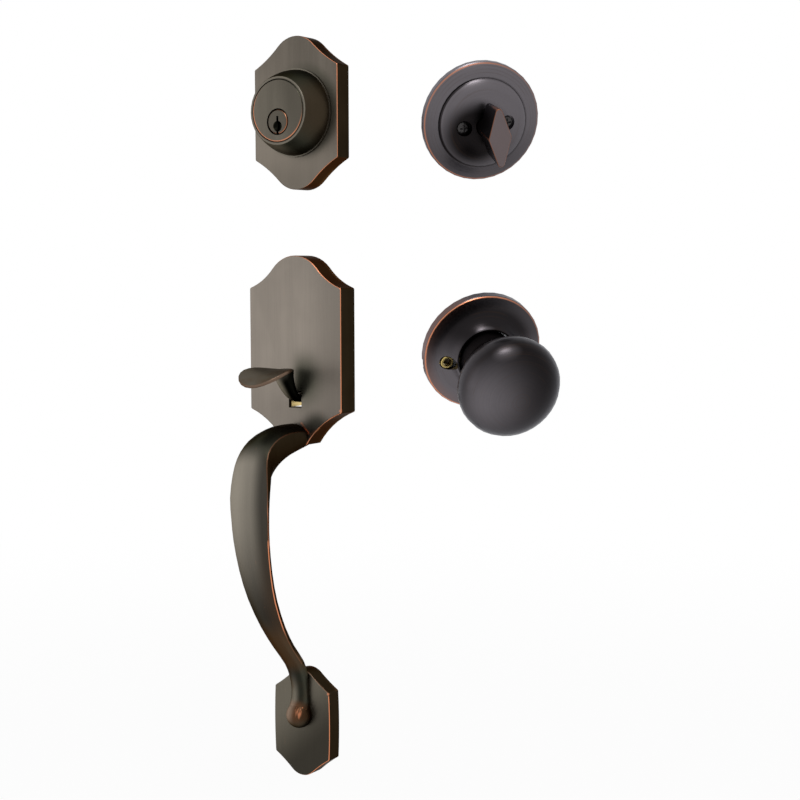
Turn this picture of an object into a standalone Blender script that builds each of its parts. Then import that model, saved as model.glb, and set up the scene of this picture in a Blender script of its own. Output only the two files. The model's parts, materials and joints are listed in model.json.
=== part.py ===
"""Entry door handleset: an outside deadbolt and thumbpiece handle, an inside thumbturn and an inside knob.

Sizes are in millimetres and are turned into metres as each mesh is made. Each unit is modelled in its own
frame, with x to the right, y up and z out of the door, and an empty stands that frame in the world. The
world's origin is on the handle casting's back face, on the door, and outside is towards -Y.
"""

from collections import namedtuple
from math import acos, asin, atan2, cos, hypot, pi, radians, sin, tan

import bmesh
import bpy
from mathutils import Matrix, Vector

MM = 0.001
GAP = 0.3
RUNNING = 0.4
WELD = 0.00001
PAST = 1.0
ROUND_STEPS = 36
MIDDLING_STEPS = 24
SMALL_STEPS = 16
TINY_STEPS = 12
PADDLE_STEPS = 24
NECK_STEPS = 16
BALL_STEPS = 24
BALL_BANDS = 14

# Where each unit stands, in the world.
DEADBOLT_UP = 206.4
TURN_PLACE = (174.6, -79.4, 188.1)
TURN_LEAN = (47.2, 19.5, -9.0)
KNOB_PLACE = (186.0, -98.5, 62.2)
KNOB_LEAN = (50.0, 22.1, -14.0)
DOOR_REACH = 38.0

# Castings.
CAST_WALL = 2.6
CAST_FACE = 3.0
CORNER_ROUND = 1.3
FRONT_ROUND = 0.7
BREAK = 0.4

# Outside deadbolt.
DEADBOLT_HALF_WIDTH = 33.0
DEADBOLT_SHOULDER = 29.4
DEADBOLT_CREST = 49.3
DEADBOLT_CREST_RADIUS = 19.5
DEADBOLT_THICK = 13.0
COLLAR_FOOT_RADIUS = 28.4
COLLAR_FOOT_THICK = 1.0
COLLAR_STEP = 0.8
COLLAR_LIP = 1.3
COLLAR_DEEP = 18.8
COLLAR_SINK = 3.2
COLLAR_SWEEP = 1.5
HOUSING_RADIUS = 17.5
HOUSING_FACE_RADIUS = 19.8
HOUSING_FACE_PROUD = 0.2
HOUSING_BACK = 6.0
LEG_SIDE = 12.3
LEG_RADIUS = 3.6
LEG_BORE = 2.2
LEG_BACK = -14.0
PLUG_BELOW = 7.0
PLUG_RADIUS = 7.6
PLUG_PROUD = 0.2
PLUG_CHAMFER = 0.5
PLUG_GROOVE_WIDE = 0.6
PLUG_GROOVE_DEEP = 0.9
PLUG_TAIL_RADIUS = 5.2
PLUG_TAIL_LONG = 4.0
KEY_SCOOP_RADIUS = 3.5
KEY_SCOOP_FLOOR = 2.2
KEY_SCOOP_DEEP = 1.6
KEY_SCOOP_BELOW = 2.9
KEYWAY_HALF = 0.8
KEYWAY_TOP = 3.6
KEYWAY_DEEP = 19.0
RETAINER_RADIUS = 8.5
RETAINER_THICK = 2.0
TAIL_WIDE = 6.0
TAIL_THICK = 1.6
TAIL_SEAT = 2.8

# Outside handle: the upper plate.
PLATE_HALF_WIDTH = 36.6
PLATE_SHOULDER = 93.2
PLATE_CREST = 114.5
PLATE_CREST_RADIUS = 23.0
PLATE_CORNER = 13.0
PLATE_FOOT = -9.0
PLATE_FOOT_HALF = 8.8
PLATE_CUT_RADIUS = 57.0
PLATE_THICK = 15.8
HOLLOW_FOOT = 14.4
SLOT_HALF = 5.1
SLOT_LOW = 15.0
SLOT_HIGH = 26.0

# The lower plate and the drop that ends the grip.
LOWER_HALF_WIDTH = 22.0
LOWER_SHOULDER = 22.6
LOWER_CREST = 36.1
LOWER_CREST_RADIUS = 12.5
LOWER_BULGE = 0.6
LOWER_THICK = 11.2
LOWER_WALL = 2.4
LOWER_FACE = 2.8
LOWER_BELOW_DROP = 6.0
DROP_RADIUS = 8.9
DROP_PROUD = 2.6

# The grip, from the upper plate's foot to the drop. Each row stands so far proud of the plates' faces and so
# far down, on its front crease and on its back. All rows are stretched to the reach and length given here.
GRIP_REACH = 54.0
GRIP_LONG = 190.6
GRIP_TAPER = 0.97
GRIP_STEPS = 2
GRIP_FRONT_STEPS = 8
GRIP_BACK_STEPS = 4
Station = namedtuple("Station", "front front_down back back_down half_width crown roundness")
GRIP_STATIONS = (
    Station(-5.0, -3.4, -5.0, 10.6, 10.4, 5.5, 0),
    Station(3.5, -5.0, 2.0, 12.8, 10.4, 5.2, 0),
    Station(19.5, -4.7, 14.8, 16.4, 10.4, 4.6, 0),
    Station(32.7, -1.6, 23.8, 20.0, 10.7, 4.0, 0),
    Station(42.6, 4.2, 30.4, 23.8, 11.0, 3.6, 0),
    Station(48.7, 12.5, 36.2, 27.6, 12.3, 3.2, 0),
    Station(51.5, 23.0, 41.1, 32.3, 14.0, 3.0, 0),
    Station(53.5, 38.0, 46.1, 42.4, 15.2, 2.9, 0),
    Station(53.7, 53.0, 47.0, 54.0, 14.8, 2.9, 0),
    Station(52.8, 68.0, 46.0, 67.0, 14.1, 2.8, 0),
    Station(49.2, 88.0, 42.2, 86.0, 12.8, 2.7, 0),
    Station(42.7, 108.0, 35.6, 105.0, 11.2, 2.6, 0),
    Station(32.4, 128.0, 25.6, 124.0, 9.5, 2.7, 0),
    Station(21.8, 143.5, 14.6, 139.0, 8.2, 3.2, 0.2),
    Station(11.9, 156.0, 4.0, 151.0, 7.3, 4.4, 0.6),
    Station(7.9, 164.5, -0.6, 161.5, 6.7, 5.4, 1.0),
    Station(6.2, 173.0, -2.1, 172.0, 6.5, 5.6, 1.0),
    Station(6.6, 180.0, -2.1, 180.0, 6.8, 5.8, 1.0),
    Station(8.4, 185.5, -2.1, 185.5, 7.6, 6.6, 1.0),
    Station(10.2, 190.6, -2.1, 190.6, 8.3, 7.8, 1.0),
)

# Posts and bosses behind the castings.
POST_SIDE = 19.7
POST_UP = 45.0
POST_RADIUS = 4.0
POST_BACK = -16.0
POST_BORE = 2.2
POST_BORE_DEEP = 12.0
STUD_RADIUS = 2.5
BOSS_RADIUS = 5.5
BOSS_LOW = 5.0
BOSS_HOLE_DEEP = 5.5

# The thumbpiece and what works behind it.
PIVOT_UP = 22.0
PIVOT_OUT = 4.5
PIN_RADIUS = 1.6
KNUCKLE_RADIUS = 4.2
PADDLE_OUT = 48.0
PADDLE_UP = 41.4
PADDLE_HALF_WIDTH = 17.3
PADDLE_HALF_LONG = 16.8
PADDLE_DROOP = 4.4
PADDLE_DISH = 1.5
PADDLE_THICK = 2.3
PADDLE_RINGS = 3
Neck = namedtuple("Neck", "out up half_width half_deep")
NECK_STATIONS = (
    Neck(28.6, 40.2, 7.6, 5.6),
    Neck(27.6, 36.0, 7.0, 4.6),
    Neck(24.6, 30.2, 6.2, 3.5),
    Neck(21.0, 25.6, 5.4, 3.0),
    Neck(16.5, 22.3, 4.7, 2.8),
    Neck(10.0, 21.5, 4.4, 3.2),
    Neck(4.5, 21.9, 4.4, 3.6),
)
TONGUE_BACK = -6.0
TONGUE_THICK = 3.6
TONGUE_HALF = 3.6
LEVER_HALF = 3.5
LEVER_THICK = 2.0
LEVER_FRONT = -0.6
BRACKET_THICK = 1.2
BRACKET_HALF = 14.0
BRACKET_LOW = 15.3
LIP_UP = 36.7
LIP_HALF = 4.5
LIP_BACK = -7.0
EAR_HALF_HIGH = 4.0
EAR_ROOM = 0.8
WINDOW_ROOM = 1.0
SPRING_OUT = -3.0
SPRING_RADIUS = 2.6
SPRING_WIRE = 0.4
SPRING_TURNS = 5
SPRING_STEPS = 10
SPRING_END = 0.8
SPRING_ROOM = 0.1
BRACKET_SCREW_SIDE = 10.5
BRACKET_SCREW_UP = 34.0
BRACKET_SCREW_RADIUS = 1.3
BRACKET_SCREW_DEEP = 1.9
BRACKET_HEAD_HIGH = 1.6

# Inside units. Each row of a rose's face and underside gives a share of the way from its bore to its rim, and
# how far out from the door it is.
ROSE_RADIUS = 33.25
ROSE_WALL = 1.2
ROSE_EDGE = 0.8
INNER_PLATE_ROOM = 4.05
INNER_PLATE_THICK = 1.5
TURN_HUB_FLOOR = 8.6
TURN_CROWN = 14.2
TURN_ROSE_FACE = (
    (0, TURN_CROWN),
    (0.223, 13.6),
    (0.406, 12.3),
    (0.552, 10.4),
    (0.662, 8.3),
    (0.695, 6.9),
    (0.724, 7.1),
    (0.845, 6.1),
    (0.973, 4.1),
    (1, 3.2),
)
TURN_ROSE_UNDER = ((0.717, 4.8), (0.479, TURN_HUB_FLOOR), (0, TURN_HUB_FLOOR))
TURN_SCREW_SIDE = 12.3
TURN_SCREW_RADIUS = 2.0
TURN_HEAD_RADIUS = 3.5
TURN_HEAD_OUT = 12.6
TURN_HEAD_EDGE = 0.9
TURN_HEAD_CROWN = 0.15
TURN_SPACER_WIDE = 0.6
TURN_SINK_RADIUS = 4.3
TURN_SINK_FLOOR = 9.8
RECESS_REACH = 2.2
RECESS_HALF = 0.45
RECESS_DEEP = 1.5
TURN_FACE_OUT = 40.1
TURN_BACK_OUT = 20.6
TURN_HALF_HIGH = 16.2
TURN_HALF_WIDTH = 6.4
TURN_TIP_ROUND = 2.0
TURN_SIDE_ROUND = 2.5
TURN_BACK_SHARE = 0.9
STEM_RADIUS = 5.5
STEM_BACK = 3.4
CLIP_OUT = 5.4
CLIP_THICK = 1.2
CLIP_GROOVE = 0.9
CLIP_RADIUS = 8.0
CLIP_MOUTH = 2.8
TURN_SLOT_DEEP = 12.0

KNOB_RADIUS = 27.7
KNOB_HALF_THICK = 19.5
KNOB_STEPS = 11
KNOB_OUT = 47.3
KNOB_SEAM_RADIUS = 16.5
KNOB_NECK_RADIUS = 13.0
KNOB_NECK = ((0.9, 28.4), (0, 23.5), (0.4, 17.5))
KNOB_FOOT_RADIUS = 15.1
KNOB_FOOT_OUT = 9.0
COLLAR_OUT = 12.6
COLLAR_ROOM = 0.5
KNOB_ROSE_FACE = (
    (0.028, COLLAR_OUT - 0.1),
    (0.079, COLLAR_OUT),
    (0.113, COLLAR_OUT - 0.6),
    (0.159, 10.4),
    (0.249, 8.1),
    (0.380, 6.2),
    (0.555, 5.0),
    (0.759, 4.6),
    (0.918, 5.2),
    (0.969, 5.1),
    (1, 4.3),
)
KNOB_ROSE_UNDER = ((0.544, 3.7), (0.238, 6.4), (0.085, 9.6), (0, 10.4))
KNOB_HOLE_SHARE = 0.295
KNOB_HOLE_RADIUS = 4.2
SHANK_RADIUS = 8.0
SHANK_BORE = 4.9
SHANK_FRONT = 37.0
SHANK_BACK = -5.0
SPINDLE_HALF = 3.2
SPINDLE_FRONT = 34.0
SPINDLE_BACK = -45.0
CASSETTE_RADIUS = 14.0
CASSETTE_FRONT = 8.4
SHANK_RING_RADIUS = 11.0
SHANK_RING_THICK = 1.5
SLEEVE_RADIUS = 3.6
SLEEVE_BORE = 2.4
SLEEVE_FLANGE = 4.6
SLEEVE_FLANGE_THICK = 1.0
SLEEVE_OUT = 6.6
SET_SCREW_OUT = 20.0
SET_SCREW_RADIUS = 1.7
PRY_HALF = 2.5
PRY_HIGH = 1.5

FINISHES = {
    "aged_bronze": ((0.105, 0.085, 0.068, 1), 0.42, 0.85),
    "dark_bronze": ((0.045, 0.038, 0.038, 1), 0.34, 0.85),
    "gunmetal": ((0.10, 0.095, 0.09, 1), 0.35, 0.95),
    "yellow_zinc": ((0.62, 0.50, 0.22, 1), 0.35, 0.9),
    "bright_steel": ((0.52, 0.52, 0.53, 1), 0.3, 1.0),
    "brass": ((0.60, 0.47, 0.20, 1), 0.3, 1.0),
    "spring_steel": ((0.30, 0.30, 0.31, 1), 0.3, 1.0),
}

parts = None
cutters = None


def clear_scene():
    """Empties the scene and makes the two collections."""
    global parts, cutters
    for obj in list(bpy.data.objects):
        bpy.data.objects.remove(obj, do_unlink=True)
    parts = bpy.data.collections.new("entry_door_handleset")
    cutters = bpy.data.collections.new("cutters")
    for collection in (parts, cutters):
        bpy.context.scene.collection.children.link(collection)


def finish_of(name):
    """The material of one finish, made once."""
    material = bpy.data.materials.get(name)
    if material is None:
        colour, roughness, metallic = FINISHES[name]
        material = bpy.data.materials.new(name)
        material.use_nodes = True
        shader = material.node_tree.nodes["Principled BSDF"]
        shader.inputs["Base Color"].default_value = colour
        shader.inputs["Roughness"].default_value = roughness
        shader.inputs["Metallic"].default_value = metallic
        material.diffuse_color = colour
    return material


def unit_at(name, place, lean=(0, 0, 0)):
    """An empty that stands one unit's frame in the world: turned about Z, tipped about X, rolled about Y."""
    turn, tip, roll = (radians(angle) for angle in lean)
    empty = bpy.data.objects.new(name, None)
    parts.objects.link(empty)
    empty.matrix_world = (
        Matrix.Translation(Vector(place) * MM)
        @ Matrix.Rotation(turn, 4, "Z")
        @ Matrix.Rotation(tip, 4, "X")
        @ Matrix.Rotation(roll, 4, "Y")
        @ Matrix.Rotation(pi / 2, 4, "X")
    )
    return empty


def piece(name, mesh, finish, unit, at=(0, 0, 0)):
    """One sub-part of the handleset, placed in its unit's frame."""
    mesh.name = name
    obj = bpy.data.objects.new(name, mesh)
    parts.objects.link(obj)
    obj.parent = unit
    obj.location = Vector(at) * MM
    obj.data.materials.append(finish_of(finish))
    return obj


def shape(target, mesh, operation):
    """Cuts a mesh from a piece, or joins it on, in the piece's own frame."""
    tool = bpy.data.objects.new(f"{target.name}_{operation.lower()}_{len(target.modifiers)}", mesh)
    cutters.objects.link(tool)
    tool.parent = target.parent
    tool.location = target.location
    tool.hide_render = True
    tool.display_type = "WIRE"
    boolean = target.modifiers.new(tool.name, "BOOLEAN")
    boolean.operation = operation
    boolean.object = tool


def cut(target, *meshes):
    for mesh in meshes:
        shape(target, mesh, "DIFFERENCE")


def join(target, *meshes):
    for mesh in meshes:
        shape(target, mesh, "UNION")


def finished_mesh(bm):
    """The mesh of a bmesh, faces out, smooth but for its sharp edges."""
    bmesh.ops.recalc_face_normals(bm, faces=bm.faces)
    mesh = bpy.data.meshes.new("solid")
    bm.to_mesh(mesh)
    bm.free()
    mesh.shade_smooth()
    mesh.set_sharp_from_angle(angle=radians(32))
    return mesh


def evaluated_bmesh(guide):
    """A bmesh of a guide object with its modifiers applied and its seams welded. The guide is removed."""
    bpy.context.scene.collection.objects.link(guide)
    bpy.context.view_layer.update()
    graph = bpy.context.evaluated_depsgraph_get()
    mesh = bpy.data.meshes.new_from_object(guide.evaluated_get(graph))
    bm = bmesh.new()
    bm.from_mesh(mesh)
    bm.transform(guide.matrix_world)
    bmesh.ops.remove_doubles(bm, verts=bm.verts, dist=WELD)
    bpy.data.objects.remove(guide, do_unlink=True)
    bpy.data.meshes.remove(mesh)
    return bm


def turned(loop, steps=ROUND_STEPS, closed=True):
    """A solid of revolution about z. Its (radius, height) points run down the outside, then up the inside."""
    count = len(loop)
    edges = [(i, (i + 1) % count) for i in range(count if closed else count - 1)]
    mesh = bpy.data.meshes.new("profile")
    mesh.from_pydata([(radius * MM, 0, height * MM) for radius, height in loop], edges, [])
    guide = bpy.data.objects.new("profile", mesh)
    screw = guide.modifiers.new("turn", "SCREW")
    screw.steps = screw.render_steps = steps
    screw.use_merge_vertices = True
    screw.merge_threshold = WELD
    return finished_mesh(evaluated_bmesh(guide))


def rod(radius, low, high, sides=SMALL_STEPS, x=0, y=0, top_radius=None):
    """A cylinder along z."""
    bm = bmesh.new()
    bmesh.ops.create_cone(
        bm,
        cap_ends=True,
        segments=round(sides),
        radius1=radius * MM,
        radius2=(radius if top_radius is None else top_radius) * MM,
        depth=(high - low) * MM,
        matrix=Matrix.Translation(Vector((x, y, (low + high) / 2)) * MM),
    )
    return finished_mesh(bm)


def cross_rod(radius, half_long, y=0, z=0, sides=SMALL_STEPS):
    """A cylinder along x."""
    bm = bmesh.new()
    place = Matrix.Translation(Vector((0, y, z)) * MM) @ Matrix.Rotation(pi / 2, 4, "Y")
    bmesh.ops.create_cone(
        bm,
        cap_ends=True,
        segments=round(sides),
        radius1=radius * MM,
        radius2=radius * MM,
        depth=2 * half_long * MM,
        matrix=place,
    )
    return finished_mesh(bm)


def block(x, y, z):
    """A box between the ends given along x, y and z."""
    low, high = Vector((x[0], y[0], z[0])) * MM, Vector((x[1], y[1], z[1])) * MM
    bm = bmesh.new()
    place = Matrix.Translation((low + high) / 2) @ Matrix.Diagonal((high - low).to_4d())
    bmesh.ops.create_cube(bm, size=1, matrix=place)
    return finished_mesh(bm)


def outline_bmesh(outline, low, high):
    """A flat outline of (x, y) points, filled and made as thick as from z = low to z = high."""
    curve = bpy.data.curves.new("outline", "CURVE")
    curve.dimensions = "2D"
    curve.fill_mode = "BOTH"
    curve.extrude = (high - low) / 2 * MM
    spline = curve.splines.new("POLY")
    spline.points.add(len(outline) - 1)
    for point, (x, y) in zip(spline.points, outline):
        point.co = (x * MM, y * MM, 0, 1)
    spline.use_cyclic_u = True
    bm = evaluated_bmesh(bpy.data.objects.new("outline", curve))
    bmesh.ops.dissolve_limit(bm, angle_limit=radians(0.5), verts=bm.verts, edges=bm.edges)
    bmesh.ops.translate(bm, verts=bm.verts, vec=(0, 0, (low + high) / 2 * MM))
    return bm


def prism(outline, low, high, front_round=0, back_share=1.0):
    """A plate of one outline, its front edge rounded over and its back drawn in to a share of its size."""
    bm = outline_bmesh(outline, low, high)
    for vert in bm.verts:
        if vert.co.z < (low + high) / 2 * MM:
            vert.co.x *= back_share
            vert.co.y *= back_share
    if front_round:
        near = (high - GAP) * MM
        rim = [e for e in bm.edges if min(v.co.z for v in e.verts) > near and len(e.link_faces) == 2]
        rim = [e for e in rim if e.calc_face_angle() > radians(45)]
        bmesh.ops.bevel(bm, geom=rim, offset=front_round * MM, segments=2, profile=0.5, affect="EDGES")
    return finished_mesh(bm)


def loft(rings):
    """A solid through a row of rings that have as many points each, closed by a face at either end."""
    bm = bmesh.new()
    rows = [[bm.verts.new(Vector(point) * MM) for point in ring] for ring in rings]
    count = len(rows[0])
    for row, after in zip(rows, rows[1:]):
        for i in range(count):
            j = (i + 1) % count
            bm.faces.new((row[i], row[j], after[j], after[i]))
    bm.faces.new(rows[0])
    bm.faces.new(rows[-1])
    return finished_mesh(bm)


def arc(x, y, radius, start, end, steps):
    """Points along an arc, between two angles in radians."""
    turns = [start + (end - start) * step / steps for step in range(steps + 1)]
    return [(x + radius * cos(turn), y + radius * sin(turn)) for turn in turns]


def rounded(points, corners, radius, steps=3):
    """The same points with an arc in place of each corner that is named by its index."""
    smooth = []
    for i, point in enumerate(points):
        if i not in corners:
            smooth.append(point)
            continue
        here = Vector(point)
        back = (Vector(points[i - 1]) - here).normalized()
        on = (Vector(points[(i + 1) % len(points)]) - here).normalized()
        half = back.angle(on) / 2
        centre = here + (back + on).normalized() * (radius / sin(half))
        first = here + back * (radius / tan(half)) - centre
        last = here + on * (radius / tan(half)) - centre
        for step in range(steps + 1):
            spoke = first.slerp(last, step / steps)
            smooth.append(tuple(centre + spoke.normalized() * radius))
    return smooth


def ogee(half_width, shoulder, crest, crest_radius, turn, inset=0):
    """The right half of an ogee end: a round crest that runs into a hollow sweep, as far as the corner."""
    rise = crest - crest_radius - shoulder
    reach = (half_width**2 + rise**2 - crest_radius**2) / (
        2 * (half_width * sin(turn) - rise * cos(turn) - crest_radius)
    )
    sweep = reach - crest_radius + inset
    x, y = reach * sin(turn), crest - crest_radius + reach * cos(turn)
    end = 2 * pi - acos((half_width - inset - x) / sweep)
    round_crest = arc(0, crest - crest_radius, crest_radius - inset, pi / 2, pi / 2 - turn, 6)
    return round_crest[:-1] + arc(x, y, sweep, 1.5 * pi - turn, end, 7)


def mirrored(right):
    """A whole outline from its right half."""
    return right + [(-x, y) for x, y in reversed(right) if x > WELD]


def two_ended(half_width, shoulder, crest, crest_radius, turn, inset=0, bulge=0, corner=CORNER_ROUND):
    """A plate's outline with an ogee at its top and its bottom, and sides that may bulge a little."""
    top = ogee(half_width, shoulder, crest, crest_radius, turn, inset)
    side = []
    if bulge:
        radius = (shoulder**2 + bulge**2) / (2 * bulge)
        spread = asin(shoulder / radius)
        side = arc(half_width + bulge - radius, 0, radius, spread, -spread, 6)[1:-1]
    right = top + side + [(x, -y) for x, y in reversed(top)]
    corners = {len(top) - 1, len(top) + len(side)}
    return mirrored(rounded(right, corners, corner))


def plate_outline(inset=0):
    """The upper plate's outline: an ogee crest, straight sides and a foot between two hollow cuts."""
    top = ogee(PLATE_HALF_WIDTH, PLATE_SHOULDER, PLATE_CREST, PLATE_CREST_RADIUS, radians(50), inset)
    corner, foot = Vector((PLATE_HALF_WIDTH, PLATE_CORNER)), Vector((PLATE_FOOT_HALF, PLATE_FOOT))
    chord = foot - corner
    away = Vector((-chord.y, chord.x)).normalized()
    depth = (PLATE_CUT_RADIUS**2 - (chord.length / 2) ** 2) ** 0.5
    centre = (corner + foot) / 2 + away * depth
    start = atan2(corner.y - centre.y, corner.x - centre.x)
    end = atan2(foot.y - centre.y, foot.x - centre.x)
    low = arc(centre.x, centre.y, PLATE_CUT_RADIUS, start, end, 7)
    return mirrored(rounded(top + low, {len(top) - 1, len(top)}, CORNER_ROUND))


def hollow_outline():
    """The hollow behind the upper plate: its outline set in by the wall, and ended above the solid foot."""
    top = ogee(PLATE_HALF_WIDTH, PLATE_SHOULDER, PLATE_CREST, PLATE_CREST_RADIUS, radians(50), CAST_WALL)
    right = top + [(PLATE_HALF_WIDTH - CAST_WALL, HOLLOW_FOOT), (0, HOLLOW_FOOT)]
    return mirrored(rounded(right, {len(top) - 1, len(top)}, CORNER_ROUND))


def smooth_rows(rows, steps):
    """Rows of numbers with more between them, on a smooth curve through each column."""
    dense = []
    for i in range(len(rows) - 1):
        before, here, after = rows[max(i - 1, 0)], rows[i], rows[i + 1]
        beyond = rows[min(i + 2, len(rows) - 1)]
        for step in range(steps):
            t = step / steps
            dense.append(
                [
                    b + 0.5 * t * ((c - a) + t * (2 * a - 5 * b + 4 * c - d + t * (3 * (b - c) + d - a)))
                    for a, b, c, d in zip(before, here, after, beyond)
                ]
            )
    dense.append(list(rows[-1]))
    return dense


def grip_rings():
    """The grip's sections, each across its run, from its crease line in front to its back line."""
    most = max(station.front for station in GRIP_STATIONS)
    last = GRIP_STATIONS[-1].front_down
    rings = []
    for values in smooth_rows(GRIP_STATIONS, GRIP_STEPS):
        at = Station(*values)
        ends = []
        for proud, down in ((at.front, at.front_down), (at.back, at.back_down)):
            face = PLATE_THICK + (LOWER_THICK - PLATE_THICK) * min(max(down / last, 0), 1)
            out = face + (proud if proud < 0 else proud * GRIP_REACH / most)
            ends.append(Vector((0, -down * GRIP_LONG / last, out)))
        front, back = ends
        ahead = (front - back).normalized()
        bulge = ((front - back).length - at.crown) / 2
        ring = []
        for step in range(GRIP_FRONT_STEPS + 1):
            turn = pi * step / GRIP_FRONT_STEPS - pi / 2
            rise = at.crown * ((1 - at.roundness) * cos(turn) ** 2 + at.roundness * cos(turn))
            ring.append(front - ahead * (at.crown - rise) + Vector((at.half_width * sin(turn), 0, 0)))
        for step in range(GRIP_BACK_STEPS + 1):
            turn = pi / 2 - pi * step / GRIP_BACK_STEPS
            side = GRIP_TAPER * at.half_width * sin(turn)
            ring.append(back + ahead * bulge * (1 - cos(turn)) + Vector((side, 0, 0)))
        rings.append(ring)
    return rings


def ball(radius, x, y, z):
    bm = bmesh.new()
    place = Matrix.Translation(Vector((x, y, z)) * MM)
    bmesh.ops.create_uvsphere(
        bm, u_segments=round(BALL_STEPS), v_segments=round(BALL_BANDS), radius=radius * MM, matrix=place
    )
    return finished_mesh(bm)


def make_casting(unit):
    """The upper plate, the grip and the lower plate, cast in one."""
    casting = piece(
        "handle_casting", prism(plate_outline(), 0, PLATE_THICK, FRONT_ROUND), "aged_bronze", unit
    )
    lower_up = -(GRIP_LONG + LOWER_BELOW_DROP)
    lower = two_ended(
        LOWER_HALF_WIDTH, LOWER_SHOULDER, LOWER_CREST, LOWER_CREST_RADIUS, radians(42), bulge=LOWER_BULGE
    )
    recess = two_ended(
        LOWER_HALF_WIDTH, LOWER_SHOULDER, LOWER_CREST, LOWER_CREST_RADIUS, radians(42), inset=LOWER_WALL
    )
    lowered = [(x, y + lower_up) for x, y in lower]
    sunk = [(x, y + lower_up) for x, y in recess]
    join(
        casting,
        prism(lowered, 0, LOWER_THICK, FRONT_ROUND),
        loft(grip_rings()),
        ball(DROP_RADIUS, 0, -GRIP_LONG, LOWER_THICK + DROP_PROUD),
    )
    cut(
        casting,
        prism(hollow_outline(), -PAST, PLATE_THICK - CAST_FACE),
        prism(sunk, -PAST, LOWER_THICK - LOWER_FACE),
        block((-SLOT_HALF, SLOT_HALF), (SLOT_LOW, SLOT_HIGH), (0, PLATE_THICK + PAST)),
    )
    floor = PLATE_THICK - CAST_FACE
    boss_top = floor + CAST_FACE / 2
    for side in (-POST_SIDE, POST_SIDE):
        join(casting, rod(BOSS_RADIUS, BOSS_LOW, boss_top, x=side, y=POST_UP))
        hole = rod(STUD_RADIUS + GAP, BOSS_LOW - PAST, BOSS_LOW + BOSS_HOLE_DEEP, TINY_STEPS, side, POST_UP)
        cut(casting, hole)
    for side in (-BRACKET_SCREW_SIDE, BRACKET_SCREW_SIDE):
        deep = floor + BRACKET_SCREW_DEEP + GAP
        cut(casting, rod(BRACKET_SCREW_RADIUS + GAP, floor - PAST, deep, TINY_STEPS, side, BRACKET_SCREW_UP))
    lower_floor = LOWER_THICK - LOWER_FACE
    join(casting, rod(BOSS_RADIUS, 0, lower_floor + PAST, y=-GRIP_LONG))
    cut(casting, rod(STUD_RADIUS + GAP, -PAST, BOSS_HOLE_DEEP, TINY_STEPS, y=-GRIP_LONG))


def make_post(name, unit, x, y, seat):
    """A threaded post: a stud that goes into its boss, a barrel against it and a tapped hole behind."""
    back = POST_BACK
    top = seat + BOSS_HOLE_DEEP - GAP
    shoulder = seat - GAP
    loop = [
        (0, top),
        (STUD_RADIUS, top),
        (STUD_RADIUS, shoulder),
        (POST_RADIUS, shoulder),
        (POST_RADIUS, back),
        (POST_BORE, back),
        (POST_BORE, back + POST_BORE_DEEP),
        (0, back + POST_BORE_DEEP),
    ]
    piece(name, turned(loop, SMALL_STEPS, closed=False), "bright_steel", unit, (x, y, 0))


def paddle_mesh():
    """The dished paddle, about the pivot: a round skin that droops to its tip, made thick below."""
    bm = bmesh.new()
    rows = []
    for ring in range(1, PADDLE_RINGS + 1):
        share = ring / PADDLE_RINGS
        row = []
        for step in range(PADDLE_STEPS):
            turn = 2 * pi * step / PADDLE_STEPS
            row.append(bm.verts.new(paddle_point(share, turn) * MM))
        rows.append(row)
    middle = bm.verts.new(paddle_point(0, 0) * MM)
    for i in range(PADDLE_STEPS):
        j = (i + 1) % PADDLE_STEPS
        bm.faces.new((middle, rows[0][i], rows[0][j]))
        for row, after in zip(rows, rows[1:]):
            bm.faces.new((row[i], after[i], after[j], row[j]))
    bmesh.ops.recalc_face_normals(bm, faces=bm.faces)
    if middle.normal.y < 0:
        bmesh.ops.reverse_faces(bm, faces=bm.faces)
    mesh = bpy.data.meshes.new("paddle")
    bm.to_mesh(mesh)
    bm.free()
    guide = bpy.data.objects.new("paddle", mesh)
    solidify = guide.modifiers.new("thickness", "SOLIDIFY")
    solidify.thickness = PADDLE_THICK * MM
    solidify.offset = -1
    edge = guide.modifiers.new("edge", "BEVEL")
    edge.width = FRONT_ROUND * MM
    edge.segments = 2
    edge.limit_method = "ANGLE"
    edge.angle_limit = radians(50)
    return finished_mesh(evaluated_bmesh(guide))


def paddle_point(share, turn):
    """A point of the paddle's top skin, at a share of the way from its middle to its rim."""
    back = -share * cos(turn)
    up = PADDLE_UP + PADDLE_DROOP * (back - back * back) - PADDLE_DISH * (1 - share * share)
    out = PADDLE_OUT + PADDLE_HALF_LONG * share * cos(turn)
    return Vector((PADDLE_HALF_WIDTH * share * sin(turn), up - PIVOT_UP, out - PIVOT_OUT))


def neck_rings():
    """Oval sections from under the paddle down through the slot to the pivot, each across the neck's run."""
    rows = [Neck(*values) for values in smooth_rows(NECK_STATIONS, 2)]
    rings = []
    for i, row in enumerate(rows):
        before, after = rows[max(i - 1, 0)], rows[min(i + 1, len(rows) - 1)]
        run = Vector((0, after.up - before.up, after.out - before.out)).normalized()
        deep = Vector((0, run.z, -run.y))
        centre = Vector((0, row.up - PIVOT_UP, row.out - PIVOT_OUT))
        turns = [2 * pi * step / NECK_STEPS for step in range(NECK_STEPS)]
        across = [Vector((row.half_width * sin(turn), 0, 0)) for turn in turns]
        rings.append([centre + deep * row.half_deep * cos(turn) + wide for turn, wide in zip(turns, across)])
    return rings


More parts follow.
